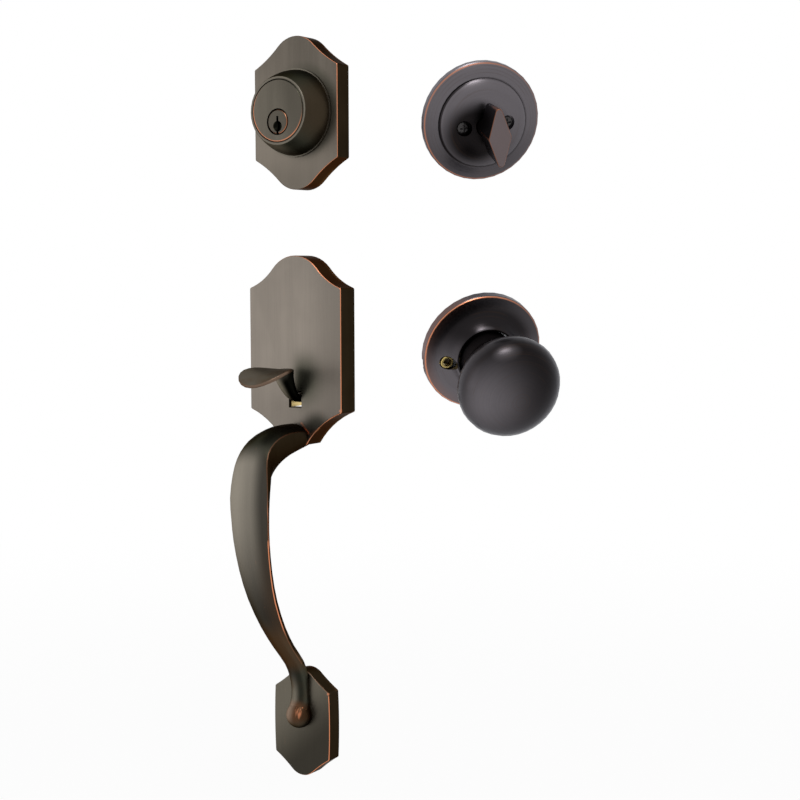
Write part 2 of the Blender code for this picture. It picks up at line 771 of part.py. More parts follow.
def make_thumbpiece(unit):
    """The thumbpiece and the lever behind it, both about the pivot pin."""
    pivot = (0, PIVOT_UP, PIVOT_OUT)
    knuckle_half = NECK_STATIONS[-1].half_width
    thumb = piece("thumbpiece", paddle_mesh(), "aged_bronze", unit, pivot)
    tongue_top = KNUCKLE_RADIUS - LEVER_THICK - GAP
    back = TONGUE_BACK - PIVOT_OUT
    tongue = block((-TONGUE_HALF, TONGUE_HALF), (tongue_top - TONGUE_THICK, tongue_top), (back, 0))
    join(thumb, loft(neck_rings()), cross_rod(KNUCKLE_RADIUS, knuckle_half), tongue)
    lever_room = block(
        (-knuckle_half - PAST, knuckle_half + PAST),
        (tongue_top, KNUCKLE_RADIUS + PAST),
        (back, LEVER_FRONT + GAP - PIVOT_OUT),
    )
    cut(thumb, lever_room, cross_rod(PIN_RADIUS + GAP, knuckle_half + PAST))
    lever = block(
        (-LEVER_HALF, LEVER_HALF),
        (tongue_top + GAP, tongue_top + GAP + LEVER_THICK),
        (-DOOR_REACH - PIVOT_OUT, LEVER_FRONT - PIVOT_OUT),
    )
    piece("thumb_lever", lever, "yellow_zinc", unit, pivot)
    lever_top = PIVOT_UP + tongue_top + GAP + LEVER_THICK
    make_spring(unit, lever_top + GAP, LIP_UP - GAP)


def make_spring(unit, low, high):
    """The coil between the lever and the bracket's lip, with a flat turn at each end."""
    curve = bpy.data.curves.new("return_spring", "CURVE")
    curve.dimensions = "3D"
    curve.bevel_depth = SPRING_WIRE * MM
    curve.bevel_resolution = 2
    curve.use_fill_caps = True
    bottom, top = low + SPRING_WIRE, high - SPRING_WIRE
    steps = SPRING_TURNS * SPRING_STEPS
    end = SPRING_END * SPRING_STEPS
    spline = curve.splines.new("POLY")
    spline.points.add(steps)
    closing = 2 * (SPRING_WIRE + SPRING_ROOM) / (top - bottom)
    for step, point in enumerate(spline.points):
        turn = 2 * pi * step / SPRING_STEPS
        inner = min(max((step - end) / (steps - 2 * end), 0), 1)
        first = min(step / end, 1) * closing
        last = max((step - steps + end) / end, 0) * closing
        rise = bottom + (top - bottom) * (first + last + inner * (1 - 2 * closing))
        across = Vector((SPRING_RADIUS * cos(turn), rise, SPRING_OUT + SPRING_RADIUS * sin(turn)))
        point.co = (*(across * MM), 1)
    spring = bpy.data.objects.new("return_spring", curve)
    parts.objects.link(spring)
    spring.parent = unit
    spring.data.materials.append(finish_of("spring_steel"))


def make_bracket(unit):
    """The folded bracket: a base with a window, two ears for the pin and a lip for the spring."""
    front = PLATE_THICK - CAST_FACE - GAP
    back = front - BRACKET_THICK
    high = LIP_UP + BRACKET_THICK
    base = block((-BRACKET_HALF, BRACKET_HALF), (BRACKET_LOW, high), (back, front))
    bracket = piece("lever_bracket", base, "yellow_zinc", unit)
    inside = front - BRACKET_THICK / 2
    ear_in = NECK_STATIONS[-1].half_width + RUNNING + EAR_ROOM
    ear_out = ear_in + BRACKET_THICK
    window_high = SLOT_HIGH + WINDOW_ROOM
    cut(bracket, block((-ear_in, ear_in), (BRACKET_LOW - PAST, window_high), (back - PAST, front + PAST)))
    ear_high = PIVOT_UP + EAR_HALF_HIGH
    for ends in ((-ear_out, -ear_in), (ear_in, ear_out)):
        join(bracket, block(ends, (BRACKET_LOW, ear_high), (PIVOT_OUT - EAR_HALF_HIGH, inside)))
    join(bracket, block((-LIP_HALF, LIP_HALF), (LIP_UP, high), (LIP_BACK, inside)))
    cut(bracket, cross_rod(PIN_RADIUS + GAP, ear_out + PAST, PIVOT_UP, PIVOT_OUT, TINY_STEPS))
    hole = BRACKET_SCREW_RADIUS + GAP
    for side in (-BRACKET_SCREW_SIDE, BRACKET_SCREW_SIDE):
        cut(bracket, rod(hole, back - PAST, front + PAST, TINY_STEPS, side, BRACKET_SCREW_UP))
    pin = cross_rod(PIN_RADIUS, ear_out + GAP)
    piece("pivot_pin", pin, "bright_steel", unit, (0, PIVOT_UP, PIVOT_OUT))
    head = back - GAP
    head_top = head - BRACKET_HEAD_HIGH
    head_radius = 2 * BRACKET_SCREW_RADIUS
    for name, side in (("left", -BRACKET_SCREW_SIDE), ("right", BRACKET_SCREW_SIDE)):
        loop = [
            (0, front + BRACKET_SCREW_DEEP),
            (BRACKET_SCREW_RADIUS, front + BRACKET_SCREW_DEEP),
            (BRACKET_SCREW_RADIUS, head),
            (head_radius, head),
            (head_radius, head_top + 2 * BREAK),
            (head_radius - 2 * BREAK, head_top),
            (0, head_top),
        ]
        screw = turned(loop, TINY_STEPS, closed=False)
        piece(f"bracket_screw_{name}", screw, "bright_steel", unit, (side, BRACKET_SCREW_UP, 0))


def make_deadbolt(unit):
    """The outside deadbolt: a cast plate, a turned collar and the lock body with its plug."""
    outline = two_ended(
        DEADBOLT_HALF_WIDTH, DEADBOLT_SHOULDER, DEADBOLT_CREST, DEADBOLT_CREST_RADIUS, radians(45)
    )
    hollow = two_ended(
        DEADBOLT_HALF_WIDTH,
        DEADBOLT_SHOULDER,
        DEADBOLT_CREST,
        DEADBOLT_CREST_RADIUS,
        radians(45),
        inset=CAST_WALL,
    )
    plate = piece("deadbolt_plate", prism(outline, 0, DEADBOLT_THICK, FRONT_ROUND), "aged_bronze", unit)
    bore = HOUSING_RADIUS + RUNNING
    cut(
        plate,
        prism(hollow, -PAST, DEADBOLT_THICK - CAST_FACE),
        rod(bore, 0, DEADBOLT_THICK + PAST, ROUND_STEPS),
    )
    foot = DEADBOLT_THICK + GAP
    step = foot + COLLAR_FOOT_THICK
    top = foot + COLLAR_DEEP
    shoulder = top - COLLAR_SINK
    sink = HOUSING_FACE_RADIUS + RUNNING
    lip = sink + COLLAR_LIP
    side_foot = COLLAR_FOOT_RADIUS - COLLAR_STEP
    side_top = top - BREAK
    swell = side_foot - lip - BREAK
    slope = [
        (side_foot - swell * share**COLLAR_SWEEP, step + (side_top - step) * share)
        for share in (1, 0.75, 0.5, 0.25, 0)
    ]
    loop = [
        (sink, top),
        (lip, top),
        *slope,
        (COLLAR_FOOT_RADIUS, step),
        (COLLAR_FOOT_RADIUS, foot),
        (bore, foot),
        (bore, shoulder),
        (sink, shoulder),
    ]
    piece("cylinder_collar", turned(loop), "aged_bronze", unit)
    make_lock_body(unit, shoulder + GAP, top + HOUSING_FACE_PROUD)


def make_lock_body(unit, face_low, face_high):
    """The cylinder housing, its plug and what is on the plug's tail."""
    loop = [
        (0, face_high),
        (HOUSING_FACE_RADIUS - BREAK, face_high),
        (HOUSING_FACE_RADIUS, face_high - BREAK),
        (HOUSING_FACE_RADIUS, face_low),
        (HOUSING_RADIUS, face_low),
        (HOUSING_RADIUS, HOUSING_BACK),
        (0, HOUSING_BACK),
    ]
    housing = piece("cylinder_housing", turned(loop, closed=False), "aged_bronze", unit)
    plug_hole = PLUG_RADIUS + GAP
    past_face = face_high + PAST
    for side in (-LEG_SIDE, LEG_SIDE):
        join(housing, rod(LEG_RADIUS, LEG_BACK, HOUSING_BACK + PAST, x=side))
    groove_low = face_high - PLUG_GROOVE_DEEP
    cut(
        housing,
        rod(plug_hole, HOUSING_BACK - PAST, past_face, MIDDLING_STEPS, y=-PLUG_BELOW),
        rod(plug_hole + PLUG_GROOVE_WIDE, groove_low, past_face, MIDDLING_STEPS, y=-PLUG_BELOW),
    )
    for side in (-LEG_SIDE, LEG_SIDE):
        cut(housing, rod(LEG_BORE, LEG_BACK - PAST, HOUSING_BACK + PAST, TINY_STEPS, side))

    tail = HOUSING_BACK - PLUG_TAIL_LONG
    plug_face = face_high + PLUG_PROUD
    loop = [
        (0, plug_face),
        (PLUG_RADIUS - PLUG_CHAMFER, plug_face),
        (PLUG_RADIUS, plug_face - PLUG_CHAMFER),
        (PLUG_RADIUS, HOUSING_BACK),
        (PLUG_TAIL_RADIUS, HOUSING_BACK),
        (PLUG_TAIL_RADIUS, tail),
        (0, tail),
    ]
    turned_plug = turned(loop, MIDDLING_STEPS, closed=False)
    plug = piece("cylinder_plug", turned_plug, "aged_bronze", unit, (0, -PLUG_BELOW, 0))
    past_plug = plug_face + PAST
    widen = (KEY_SCOOP_RADIUS - KEY_SCOOP_FLOOR) / KEY_SCOOP_DEEP
    scoop = rod(
        KEY_SCOOP_FLOOR,
        plug_face - KEY_SCOOP_DEEP,
        past_plug,
        SMALL_STEPS,
        y=-KEY_SCOOP_BELOW,
        top_radius=KEY_SCOOP_RADIUS + widen * PAST,
    )
    keyway = block(
        (-KEYWAY_HALF, KEYWAY_HALF), (-PLUG_RADIUS - PAST, KEYWAY_TOP), (plug_face - KEYWAY_DEEP, past_plug)
    )
    tail_slot = block(
        (-TAIL_WIDE / 2 - GAP, TAIL_WIDE / 2 + GAP),
        (-TAIL_THICK / 2 - GAP, TAIL_THICK / 2 + GAP),
        (tail - PAST, tail + TAIL_SEAT + GAP),
    )
    cut(plug, scoop, keyway, tail_slot)
    retainer = HOUSING_BACK - GAP
    loop = [
        (RETAINER_RADIUS, retainer),
        (RETAINER_RADIUS, retainer - RETAINER_THICK),
        (PLUG_TAIL_RADIUS + GAP, retainer - RETAINER_THICK),
        (PLUG_TAIL_RADIUS + GAP, retainer),
    ]
    piece("plug_retainer", turned(loop, MIDDLING_STEPS), "brass", unit, (0, -PLUG_BELOW, 0))
    bar = block(
        (-TAIL_WIDE / 2, TAIL_WIDE / 2), (-TAIL_THICK / 2, TAIL_THICK / 2), (-DOOR_REACH, tail + TAIL_SEAT)
    )
    piece("tailpiece", bar, "bright_steel", unit, (0, -PLUG_BELOW, 0))


def lozenge(half_width, half_high, side_round, tip_round, steps=4):
    """An upright lozenge with rounded tips and sides, from arcs that share their tangents."""
    side, tip = half_width - side_round, half_high - tip_round
    lean = acos((tip_round - side_round) / hypot(side, tip)) - atan2(tip, side)
    points = []
    for quarter, (x, y, radius) in enumerate(
        ((side, 0, side_round), (0, tip, tip_round), (-side, 0, side_round), (0, -tip, tip_round))
    ):
        middle = quarter * pi / 2
        half = abs(lean) if quarter % 2 == 0 else pi / 2 - abs(lean)
        points += arc(x, y, radius, middle - half, middle + half, steps)
    return points


def make_rose(name, unit, bore, face, under):
    """A turned rose with a flat rim, from its face and its underside."""
    span = ROSE_RADIUS - bore
    wall = ROSE_RADIUS - ROSE_WALL
    rim_out = face[-1][1]
    front = [(bore + span * share, out) for share, out in face]
    back = [(bore + span * share, out) for share, out in under]
    loop = front + [(ROSE_RADIUS, 0), (wall, 0), (wall, rim_out - ROSE_EDGE)] + back
    return piece(name, turned(loop), "dark_bronze", unit)


def inner_plate(name, unit):
    """The steel plate behind a rose, and how far out its face is."""
    top = GAP + INNER_PLATE_THICK
    radius = ROSE_RADIUS - ROSE_WALL - INNER_PLATE_ROOM
    return piece(name, rod(radius, GAP, top, ROUND_STEPS), "bright_steel", unit), top


def make_thumbturn(unit):
    """The inside thumbturn: rose, mounting plate, two screws and the turn with its washer and clip."""
    bore = STEM_RADIUS + RUNNING
    rose = make_rose("turn_rose", unit, bore, TURN_ROSE_FACE, TURN_ROSE_UNDER)
    plate, plate_top = inner_plate("turn_plate", unit)
    slot_half = TAIL_WIDE / 2 + GAP
    cut(plate, rod(slot_half + 2 * PAST, 0, plate_top + PAST))
    screw_hole = TURN_SCREW_RADIUS + RUNNING
    for name, side in (("left", -TURN_SCREW_SIDE), ("right", TURN_SCREW_SIDE)):
        spacer = TURN_HEAD_RADIUS + TURN_SPACER_WIDE
        join(plate, rod(spacer, plate_top - PAST, TURN_HUB_FLOOR - GAP, x=side))
        cut(plate, rod(screw_hole, 0, TURN_HUB_FLOOR + PAST, TINY_STEPS, side))
        cut(
            rose,
            rod(TURN_SINK_RADIUS, TURN_SINK_FLOOR, TURN_CROWN + PAST, x=side),
            rod(screw_hole, TURN_HUB_FLOOR - PAST, TURN_SINK_FLOOR + PAST, TINY_STEPS, side),
        )
        make_turn_screw(f"turn_screw_{name}", unit, side)
    body = prism(
        lozenge(TURN_HALF_WIDTH, TURN_HALF_HIGH, TURN_SIDE_ROUND, TURN_TIP_ROUND),
        TURN_BACK_OUT,
        TURN_FACE_OUT,
        FRONT_ROUND,
        TURN_BACK_SHARE,
    )
    turn = piece("thumb_turn", body, "dark_bronze", unit)
    groove_low, groove_high = CLIP_OUT - GAP, CLIP_OUT + CLIP_THICK + GAP
    neck = STEM_RADIUS - CLIP_GROOVE
    top = TURN_BACK_OUT + PAST
    loop = [
        (0, top),
        (STEM_RADIUS, top),
        (STEM_RADIUS, groove_high),
        (neck, groove_high),
        (neck, groove_low),
        (STEM_RADIUS, groove_low),
        (STEM_RADIUS, STEM_BACK),
        (0, STEM_BACK),
    ]
    join(turn, turned(loop, SMALL_STEPS, closed=False))
    half_thick = TAIL_THICK / 2 + GAP
    tail_slot = block(
        (-slot_half, slot_half), (-half_thick, half_thick), (STEM_BACK - PAST, STEM_BACK + TURN_SLOT_DEEP)
    )
    cut(turn, tail_slot)
    clip_high = CLIP_OUT + CLIP_THICK
    make_ring("turn_washer", unit, bore, clip_high + GAP, TURN_HUB_FLOOR - GAP)
    clip = make_ring("turn_clip", unit, neck + GAP, CLIP_OUT, clip_high)
    mouth = block((-CLIP_MOUTH, CLIP_MOUTH), (-CLIP_RADIUS - PAST, 0), (CLIP_OUT - PAST, clip_high + PAST))
    cut(clip, mouth)


def make_ring(name, unit, inner, low, high):
    """A flat ring on the thumbturn's stem."""
    loop = [(CLIP_RADIUS, high), (CLIP_RADIUS, low), (inner, low), (inner, high)]
    return piece(name, turned(loop, SMALL_STEPS), "spring_steel", unit)


def make_turn_screw(name, unit, side):
    """A long machine screw with an oval head and a cross recess, through the rose, the plate and the door."""
    seat = TURN_SINK_FLOOR + GAP
    loop = [
        (0, TURN_HEAD_OUT),
        (RECESS_REACH, TURN_HEAD_OUT - TURN_HEAD_CROWN),
        (TURN_HEAD_RADIUS, TURN_HEAD_OUT - TURN_HEAD_EDGE),
        (TURN_HEAD_RADIUS, seat),
        (TURN_SCREW_RADIUS, seat),
        (TURN_SCREW_RADIUS, -DOOR_REACH),
        (TURN_SCREW_RADIUS - 2 * BREAK, -DOOR_REACH - 2 * BREAK),
        (0, -DOOR_REACH - 2 * BREAK),
    ]
    screw = piece(name, turned(loop, TINY_STEPS, closed=False), "gunmetal", unit, (side, 0, 0))
    reach, half = (-RECESS_REACH, RECESS_REACH), (-RECESS_HALF, RECESS_HALF)
    deep = (TURN_HEAD_OUT - RECESS_DEEP, TURN_HEAD_OUT + PAST)
    cut(screw, block(reach, half, deep), block(half, reach, deep))


def make_knob(unit):
    """The inside knob: dished rose, mounting plate, spring cassette and the knob on its shank and spindle."""
    collar = KNOB_FOOT_RADIUS + COLLAR_ROOM
    rose = make_rose("knob_rose", unit, collar, KNOB_ROSE_FACE, KNOB_ROSE_UNDER)
    hole_side = collar + (ROSE_RADIUS - collar) * KNOB_HOLE_SHARE
    for side in (-hole_side, hole_side):
        cut(rose, rod(KNOB_HOLE_RADIUS, 0, COLLAR_OUT + PAST, x=side))
    notch = ROSE_RADIUS + PAST
    cut(rose, block((-notch, -notch + 3 * PAST), (-PRY_HALF, PRY_HALF), (-PAST, PRY_HIGH)))
    plate, plate_top = inner_plate("knob_plate", unit)
    shank_hole = SHANK_RADIUS + RUNNING
    cut(plate, rod(shank_hole, 0, plate_top + PAST))
    sleeve_low = plate_top + GAP
    flange = sleeve_low + SLEEVE_FLANGE_THICK
    for name, side in (("left", -hole_side), ("right", hole_side)):
        cut(plate, rod(SLEEVE_BORE + RUNNING, 0, plate_top + PAST, TINY_STEPS, side))
        loop = [
            (SLEEVE_RADIUS - BREAK, SLEEVE_OUT),
            (SLEEVE_RADIUS, SLEEVE_OUT - BREAK),
            (SLEEVE_RADIUS, flange),
            (SLEEVE_FLANGE, flange),
            (SLEEVE_FLANGE, sleeve_low),
            (SLEEVE_BORE, sleeve_low),
            (SLEEVE_BORE, SLEEVE_OUT),
        ]
        piece(f"knob_sleeve_{name}", turned(loop, SMALL_STEPS), "brass", unit, (side, 0, 0))
    loop = [
        (CASSETTE_RADIUS - BREAK, CASSETTE_FRONT),
        (CASSETTE_RADIUS, CASSETTE_FRONT - BREAK),
        (CASSETTE_RADIUS, sleeve_low),
        (shank_hole, sleeve_low),
        (shank_hole, CASSETTE_FRONT),
    ]
    piece("spring_cassette", turned(loop, SMALL_STEPS), "bright_steel", unit)
    make_knob_body(unit, shank_hole)


def make_knob_body(unit, shank_hole):
    """The knob, its shank, its spindle, the ring that keeps them in and the screw that holds the knob."""
    seam = asin(KNOB_SEAM_RADIUS / KNOB_RADIUS)
    dome = []
    for step in range(KNOB_STEPS + 1):
        turn = (pi - seam) * step / KNOB_STEPS
        dome.append((KNOB_RADIUS * sin(turn), KNOB_OUT + KNOB_HALF_THICK * cos(turn)))
    knob_bore = SHANK_RADIUS + GAP
    loop = [
        *dome,
        *((KNOB_NECK_RADIUS + swell, out) for swell, out in KNOB_NECK),
        (KNOB_FOOT_RADIUS, COLLAR_OUT),
        (KNOB_FOOT_RADIUS, KNOB_FOOT_OUT),
        (knob_bore, KNOB_FOOT_OUT),
        (knob_bore, SHANK_FRONT + GAP),
        (0, SHANK_FRONT + GAP),
    ]
    knob = piece("knob", turned(loop, closed=False), "dark_bronze", unit)
    screw_hole = SET_SCREW_RADIUS + GAP
    drill = rod(screw_hole, 0, KNOB_FOOT_RADIUS, TINY_STEPS)
    down = Matrix.Translation(Vector((0, 0, SET_SCREW_OUT)) * MM) @ Matrix.Rotation(pi / 2, 4, "X")
    drill.transform(down)
    cut(knob, drill)
    set_screw = rod(SET_SCREW_RADIUS, SHANK_RADIUS + GAP, KNOB_NECK_RADIUS - GAP, TINY_STEPS)
    set_screw.transform(down)
    piece("knob_set_screw", set_screw, "gunmetal", unit)
    loop = [
        (SHANK_RADIUS, SHANK_FRONT),
        (SHANK_RADIUS, SHANK_BACK),
        (SHANK_BORE, SHANK_BACK),
        (SHANK_BORE, SHANK_FRONT),
    ]
    piece("knob_shank", turned(loop, SMALL_STEPS), "bright_steel", unit)
    half = SPINDLE_HALF
    spindle = block((-half, half), (-half, half), (SPINDLE_BACK, SPINDLE_FRONT))
    piece("knob_spindle", spindle, "bright_steel", unit)
    ring_in = SHANK_RADIUS + GAP
    loop = [
        (SHANK_RING_RADIUS, 0),
        (SHANK_RING_RADIUS, -SHANK_RING_THICK),
        (ring_in, -SHANK_RING_THICK),
        (ring_in, 0),
    ]
    piece("shank_ring", turned(loop, SMALL_STEPS), "spring_steel", unit)


def main():
    clear_scene()
    make_deadbolt(unit_at("outside_deadbolt", (0, 0, DEADBOLT_UP)))
    handle = unit_at("outside_handle", (0, 0, 0))
    make_casting(handle)
    make_thumbpiece(handle)
    make_bracket(handle)
    make_post("handle_post_left", handle, -POST_SIDE, POST_UP, BOSS_LOW)
    make_post("handle_post_right", handle, POST_SIDE, POST_UP, BOSS_LOW)
    make_post("lower_post", handle, 0, -GRIP_LONG, 0)
    make_thumbturn(unit_at("inside_thumbturn", TURN_PLACE, TURN_LEAN))
    make_knob(unit_at("inside_knob", KNOB_PLACE, KNOB_LEAN))


main()
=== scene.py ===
"""Looks for an entry door handleset: worn bronze finishes, bright works and a plain studio."""

import json
from math import cos, pi, radians, sin

import bmesh
import bpy
from bpy.props import FloatProperty, FloatVectorProperty, PointerProperty
from bpy.types import Operator, Panel, PropertyGroup
from mathutils import Matrix, Vector


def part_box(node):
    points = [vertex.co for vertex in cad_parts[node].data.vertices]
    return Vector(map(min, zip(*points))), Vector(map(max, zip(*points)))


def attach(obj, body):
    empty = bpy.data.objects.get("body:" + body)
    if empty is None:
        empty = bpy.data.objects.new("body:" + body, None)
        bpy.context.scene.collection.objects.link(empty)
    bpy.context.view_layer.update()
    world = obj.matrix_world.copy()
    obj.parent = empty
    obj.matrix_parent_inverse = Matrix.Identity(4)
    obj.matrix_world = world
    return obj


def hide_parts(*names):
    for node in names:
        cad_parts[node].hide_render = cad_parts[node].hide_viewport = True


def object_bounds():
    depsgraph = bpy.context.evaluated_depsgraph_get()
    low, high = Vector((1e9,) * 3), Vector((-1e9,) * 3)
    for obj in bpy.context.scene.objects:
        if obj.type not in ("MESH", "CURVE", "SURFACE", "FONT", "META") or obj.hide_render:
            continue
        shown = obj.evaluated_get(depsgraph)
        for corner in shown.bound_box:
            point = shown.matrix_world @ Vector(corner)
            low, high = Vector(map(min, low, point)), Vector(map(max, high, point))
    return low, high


bl_info = {
    "name": "Entry Door Handleset",
    "version": (1, 0, 0),
    "blender": (4, 5, 0),
    "location": "3D View > Sidebar > Handleset",
    "description": "Dresses the packed handleset in aged bronze and sets it in a plain studio",
    "category": "Object",
}

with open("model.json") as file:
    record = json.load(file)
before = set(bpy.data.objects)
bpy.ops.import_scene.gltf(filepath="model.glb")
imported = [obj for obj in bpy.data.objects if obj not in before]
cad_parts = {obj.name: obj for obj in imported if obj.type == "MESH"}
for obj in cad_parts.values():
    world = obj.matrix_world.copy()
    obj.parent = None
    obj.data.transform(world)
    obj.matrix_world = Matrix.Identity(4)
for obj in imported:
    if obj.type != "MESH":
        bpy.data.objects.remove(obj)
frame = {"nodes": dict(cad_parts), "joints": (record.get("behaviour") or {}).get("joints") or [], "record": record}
CAD_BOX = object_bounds()
JOINTS = {joint["name"]: joint for joint in frame["joints"]}
MM = 0.001


# Shader maths


class Wire:
    """A node's output. Arithmetic on it adds Math nodes to its tree."""

    def __init__(self, tree, socket):
        self.tree = tree
        self.socket = socket

    def maths(self, operation, *values):
        node = self.tree.nodes.new("ShaderNodeMath")
        node.operation = operation
        for socket, value in zip(node.inputs, values):
            plug(self.tree, socket, value)
        return Wire(self.tree, node.outputs[0])

    def __add__(self, other):
        return self.maths("ADD", self, other)

    def __radd__(self, other):
        return self.maths("ADD", other, self)

    def __sub__(self, other):
        return self.maths("SUBTRACT", self, other)

    def __rsub__(self, other):
        return self.maths("SUBTRACT", other, self)

    def __mul__(self, other):
        return self.maths("MULTIPLY", self, other)

    def __rmul__(self, other):
        return self.maths("MULTIPLY", other, self)

    def __truediv__(self, other):
        return self.maths("DIVIDE", self, other)

    def __pow__(self, other):
        return self.maths("POWER", self, other)

    def __neg__(self):
        return self.maths("MULTIPLY", self, -1)

    def size(self):
        return self.maths("ABSOLUTE", self)

    def root(self):
        return self.maths("SQRT", self)

    def most(self, other):
        return self.maths("MAXIMUM", self, other)

    def least(self, other):
        return self.maths("MINIMUM", self, other)


def plug(tree, socket, value):
    """Gives a socket a link or a value."""
    if isinstance(value, Wire):
        tree.links.new(value.socket, socket)
    else:
        socket.default_value = value


class Finish:
    """A material whose nodes are written as expressions."""

    def __init__(self, name):
        self.material = bpy.data.materials.new(name)
        self.material.use_nodes = True
        self.tree = self.material.node_tree
        self.tree.nodes.clear()
        self.shader = self.tree.nodes.new("ShaderNodeBsdfPrincipled")
        self.output = self.tree.nodes.new("ShaderNodeOutputMaterial")
        self.tree.links.new(self.shader.outputs[0], self.output.inputs[0])
        self.place = self.node("ShaderNodeTexCoord", output="Object")
        self.normal = self.node("ShaderNodeTexCoord", output="Normal")

    def node(self, kind, settings=None, inputs=None, output=0):
        """Adds a node: its settings first, then its sockets' values and links."""
        node = self.tree.nodes.new(kind)
        for name, value in (settings or {}).items():
            if name == "stops":
                fill_ramp(node.color_ramp, value)
            else:
                setattr(node, name, value)
        for name, value in (inputs or {}).items():
            plug(self.tree, node.inputs[name], value)
        return Wire(self.tree, node.outputs[output])

    def set(self, **sockets):
        """Sets the shader's own sockets, named with _ for a space."""
        for name, value in sockets.items():
            plug(self.tree, self.shader.inputs[name.replace("_", " ")], value)
        return self

    def smooth(self, value, low, high):
        """0 below low, 1 above high and a soft step between."""
        settings = {"interpolation_type": "SMOOTHSTEP"}
        inputs = {"Value": value, "From Min": low, "From Max": high}
        return self.node("ShaderNodeMapRange", settings, inputs)

    def fade(self, value, low, high):
        """1 below low, 0 above high and a soft step between."""
        return 1 - self.smooth(value, low, high)

    def band(self, value, rise, fall):
        """1 between two soft steps, each given by its two ends."""
        return self.smooth(value, *rise) - self.smooth(value, *fall)

    def blend(self, share, below, above, way="MIX"):
        """A mix of two colours."""
        settings = {"data_type": "RGBA", "blend_type": way}
        inputs = {0: share, 6: colour(below), 7: colour(above)}
        return self.node("ShaderNodeMix", settings, inputs, 2)

    def layers(self, coat, *layers):
        """A coat with colours laid over it, each by its own share."""
        for share, above in layers:
            coat = self.blend(share, coat, above)
        return coat

    def vector(self, operation, first, second=None, output=0):
        inputs = {0: first} if second is None else {0: first, 1: second}
        return self.node("ShaderNodeVectorMath", {"operation": operation}, inputs, output)

    def length(self, vector):
        return self.vector("LENGTH", vector, output="Value")

    def along(self, vector, direction):
        """How far a vector goes in a direction."""
        return self.vector("DOT_PRODUCT", vector, tuple(direction), "Value")

    def offset(self, centre):
        """Places in the frame, measured from a centre."""
        return self.vector("SUBTRACT", self.place, tuple(centre))

    def beyond(self, centre, direction):
        """How far places lie from a centre in a direction."""
        return self.along(self.offset(centre), direction)

    def noise(self, vector, scale, detail=3, roughness=0.55):
        inputs = {"Vector": vector, "Scale": scale, "Detail": detail, "Roughness": roughness}
        return self.node("ShaderNodeTexNoise", {"noise_dimensions": "3D"}, inputs)

    def stretched(self, x, y, z):
        """Places in the frame, scaled by a different amount each way."""
        return self.vector("MULTIPLY", self.place, (x, y, z))

    def spot(self, centre, inner, outer, squeeze=(1, 1, 1)):
        """1 near a place in the frame, 0 away from it and a soft step between."""
        offset = self.vector("MULTIPLY", self.offset(centre), squeeze)
        return self.fade(self.length(offset), inner, outer)

    def stroke(self, start, end, inner, outer):
        """1 near a straight line between two places in the frame, 0 away from it."""
        offset = self.offset(start)
        run = Vector(end) - Vector(start)
        share = self.along(offset, run / run.length_squared).most(0).least(1)
        parts = {axis: share * part for axis, part in enumerate(run)}
        nearest = self.node("ShaderNodeCombineXYZ", inputs=parts)
        return self.fade(self.length(self.vector("SUBTRACT", offset, nearest)), inner, outer)

    def attribute(self, name):
        return self.node("ShaderNodeAttribute", {"attribute_name": name}, output="Fac")

    def bump(self, height, strength, distance=0.0002):
        inputs = {"Height": height, "Strength": strength, "Distance": distance}
        self.set(Normal=self.node("ShaderNodeBump", inputs=inputs))


def fill_ramp(ramp, stops):
    """Gives a colour ramp its stops, each a place and a colour."""
    while len(ramp.elements) > 1:
        ramp.elements.remove(ramp.elements[-1])
    for number, (place, shade) in enumerate(stops):
        element = ramp.elements[0] if number == 0 else ramp.elements.new(place)
        element.position = place
        element.color = colour(shade)


def colour(value):
    """A colour as four numbers; a wire stays as it is."""
    if isinstance(value, Wire):
        return value
    return (*value[:3], 1)


# Sizes and colours


def paint_property(name, description, default):
    return FloatVectorProperty(
        name=name, description=description, subtype="COLOR", size=3, default=default, min=0, max=1)


class BronzeColours(PropertyGroup):
    deadbolt: paint_property(
        "Deadbolt", "Brushed front of the deadbolt's plate", (0.190, 0.165, 0.136))
    lock: paint_property(
        "Lock", "Brushed face of the lock cylinder", (0.120, 0.107, 0.086))
    plate: paint_property(
        "Plate", "Brushed front of the handle's upper plate", (0.262, 0.229, 0.195))
    grip: paint_property(
        "Grip", "Brushed front of the grip", (0.262, 0.236, 0.195))
    foot: paint_property(
        "Foot", "Brushed front of the lower plate", (0.140, 0.125, 0.098))
    # The flank tone is partly the sides' dark coat and partly painted shade.
    flank: paint_property(
        "Flank", "Sides, where the dark coat is whole", (0.0255, 0.0190, 0.0120))
    # The shadow tone is painted shade, laid in grooves, hollows, the keyway, shaded sides and cast shadows.
    shadow: paint_property(
        "Shadow", "The darkest coat, in grooves and hollows", (0.0088, 0.0088, 0.0064))
    # Umber is the thinly rubbed coat; it is also laid as painted light where the sides face up, and as painted
    # shade on the drop's right.
    umber: paint_property(
        "Umber", "Coat that is rubbed thin", (0.094, 0.050, 0.025))
    copper: paint_property(
        "Copper", "Bare metal along the worn edges", (0.72, 0.27, 0.135))
    # Inside and soft are painted shade and painted light: the inside units' coat runs from the one to the other by
    # its share of painted light.
    inside: paint_property(
        "Inside", "The inside units' finish, where it is darkest", (0.0115, 0.0100, 0.0105))
    soft: paint_property(
        "Soft", "The inside units' finish, where it is palest", (0.128, 0.117, 0.127))
    # The blade tone is the thumbturn's end face, made paler by painted light.
    blade: paint_property(
        "Blade", "The thumbturn's paler end face", (0.138, 0.112, 0.114))


class EdgeSizes(PropertyGroup):
    line: FloatProperty(
        name="Line", description="Round that the worn line follows on a sharp cast edge",
        unit="LENGTH", default=0.00034, min=0.0001, max=0.002)
    rim: FloatProperty(
        name="Rim", description="Half width of the worn line on a turned rim",
        unit="LENGTH", default=0.0005, min=0.0002, max=0.002)


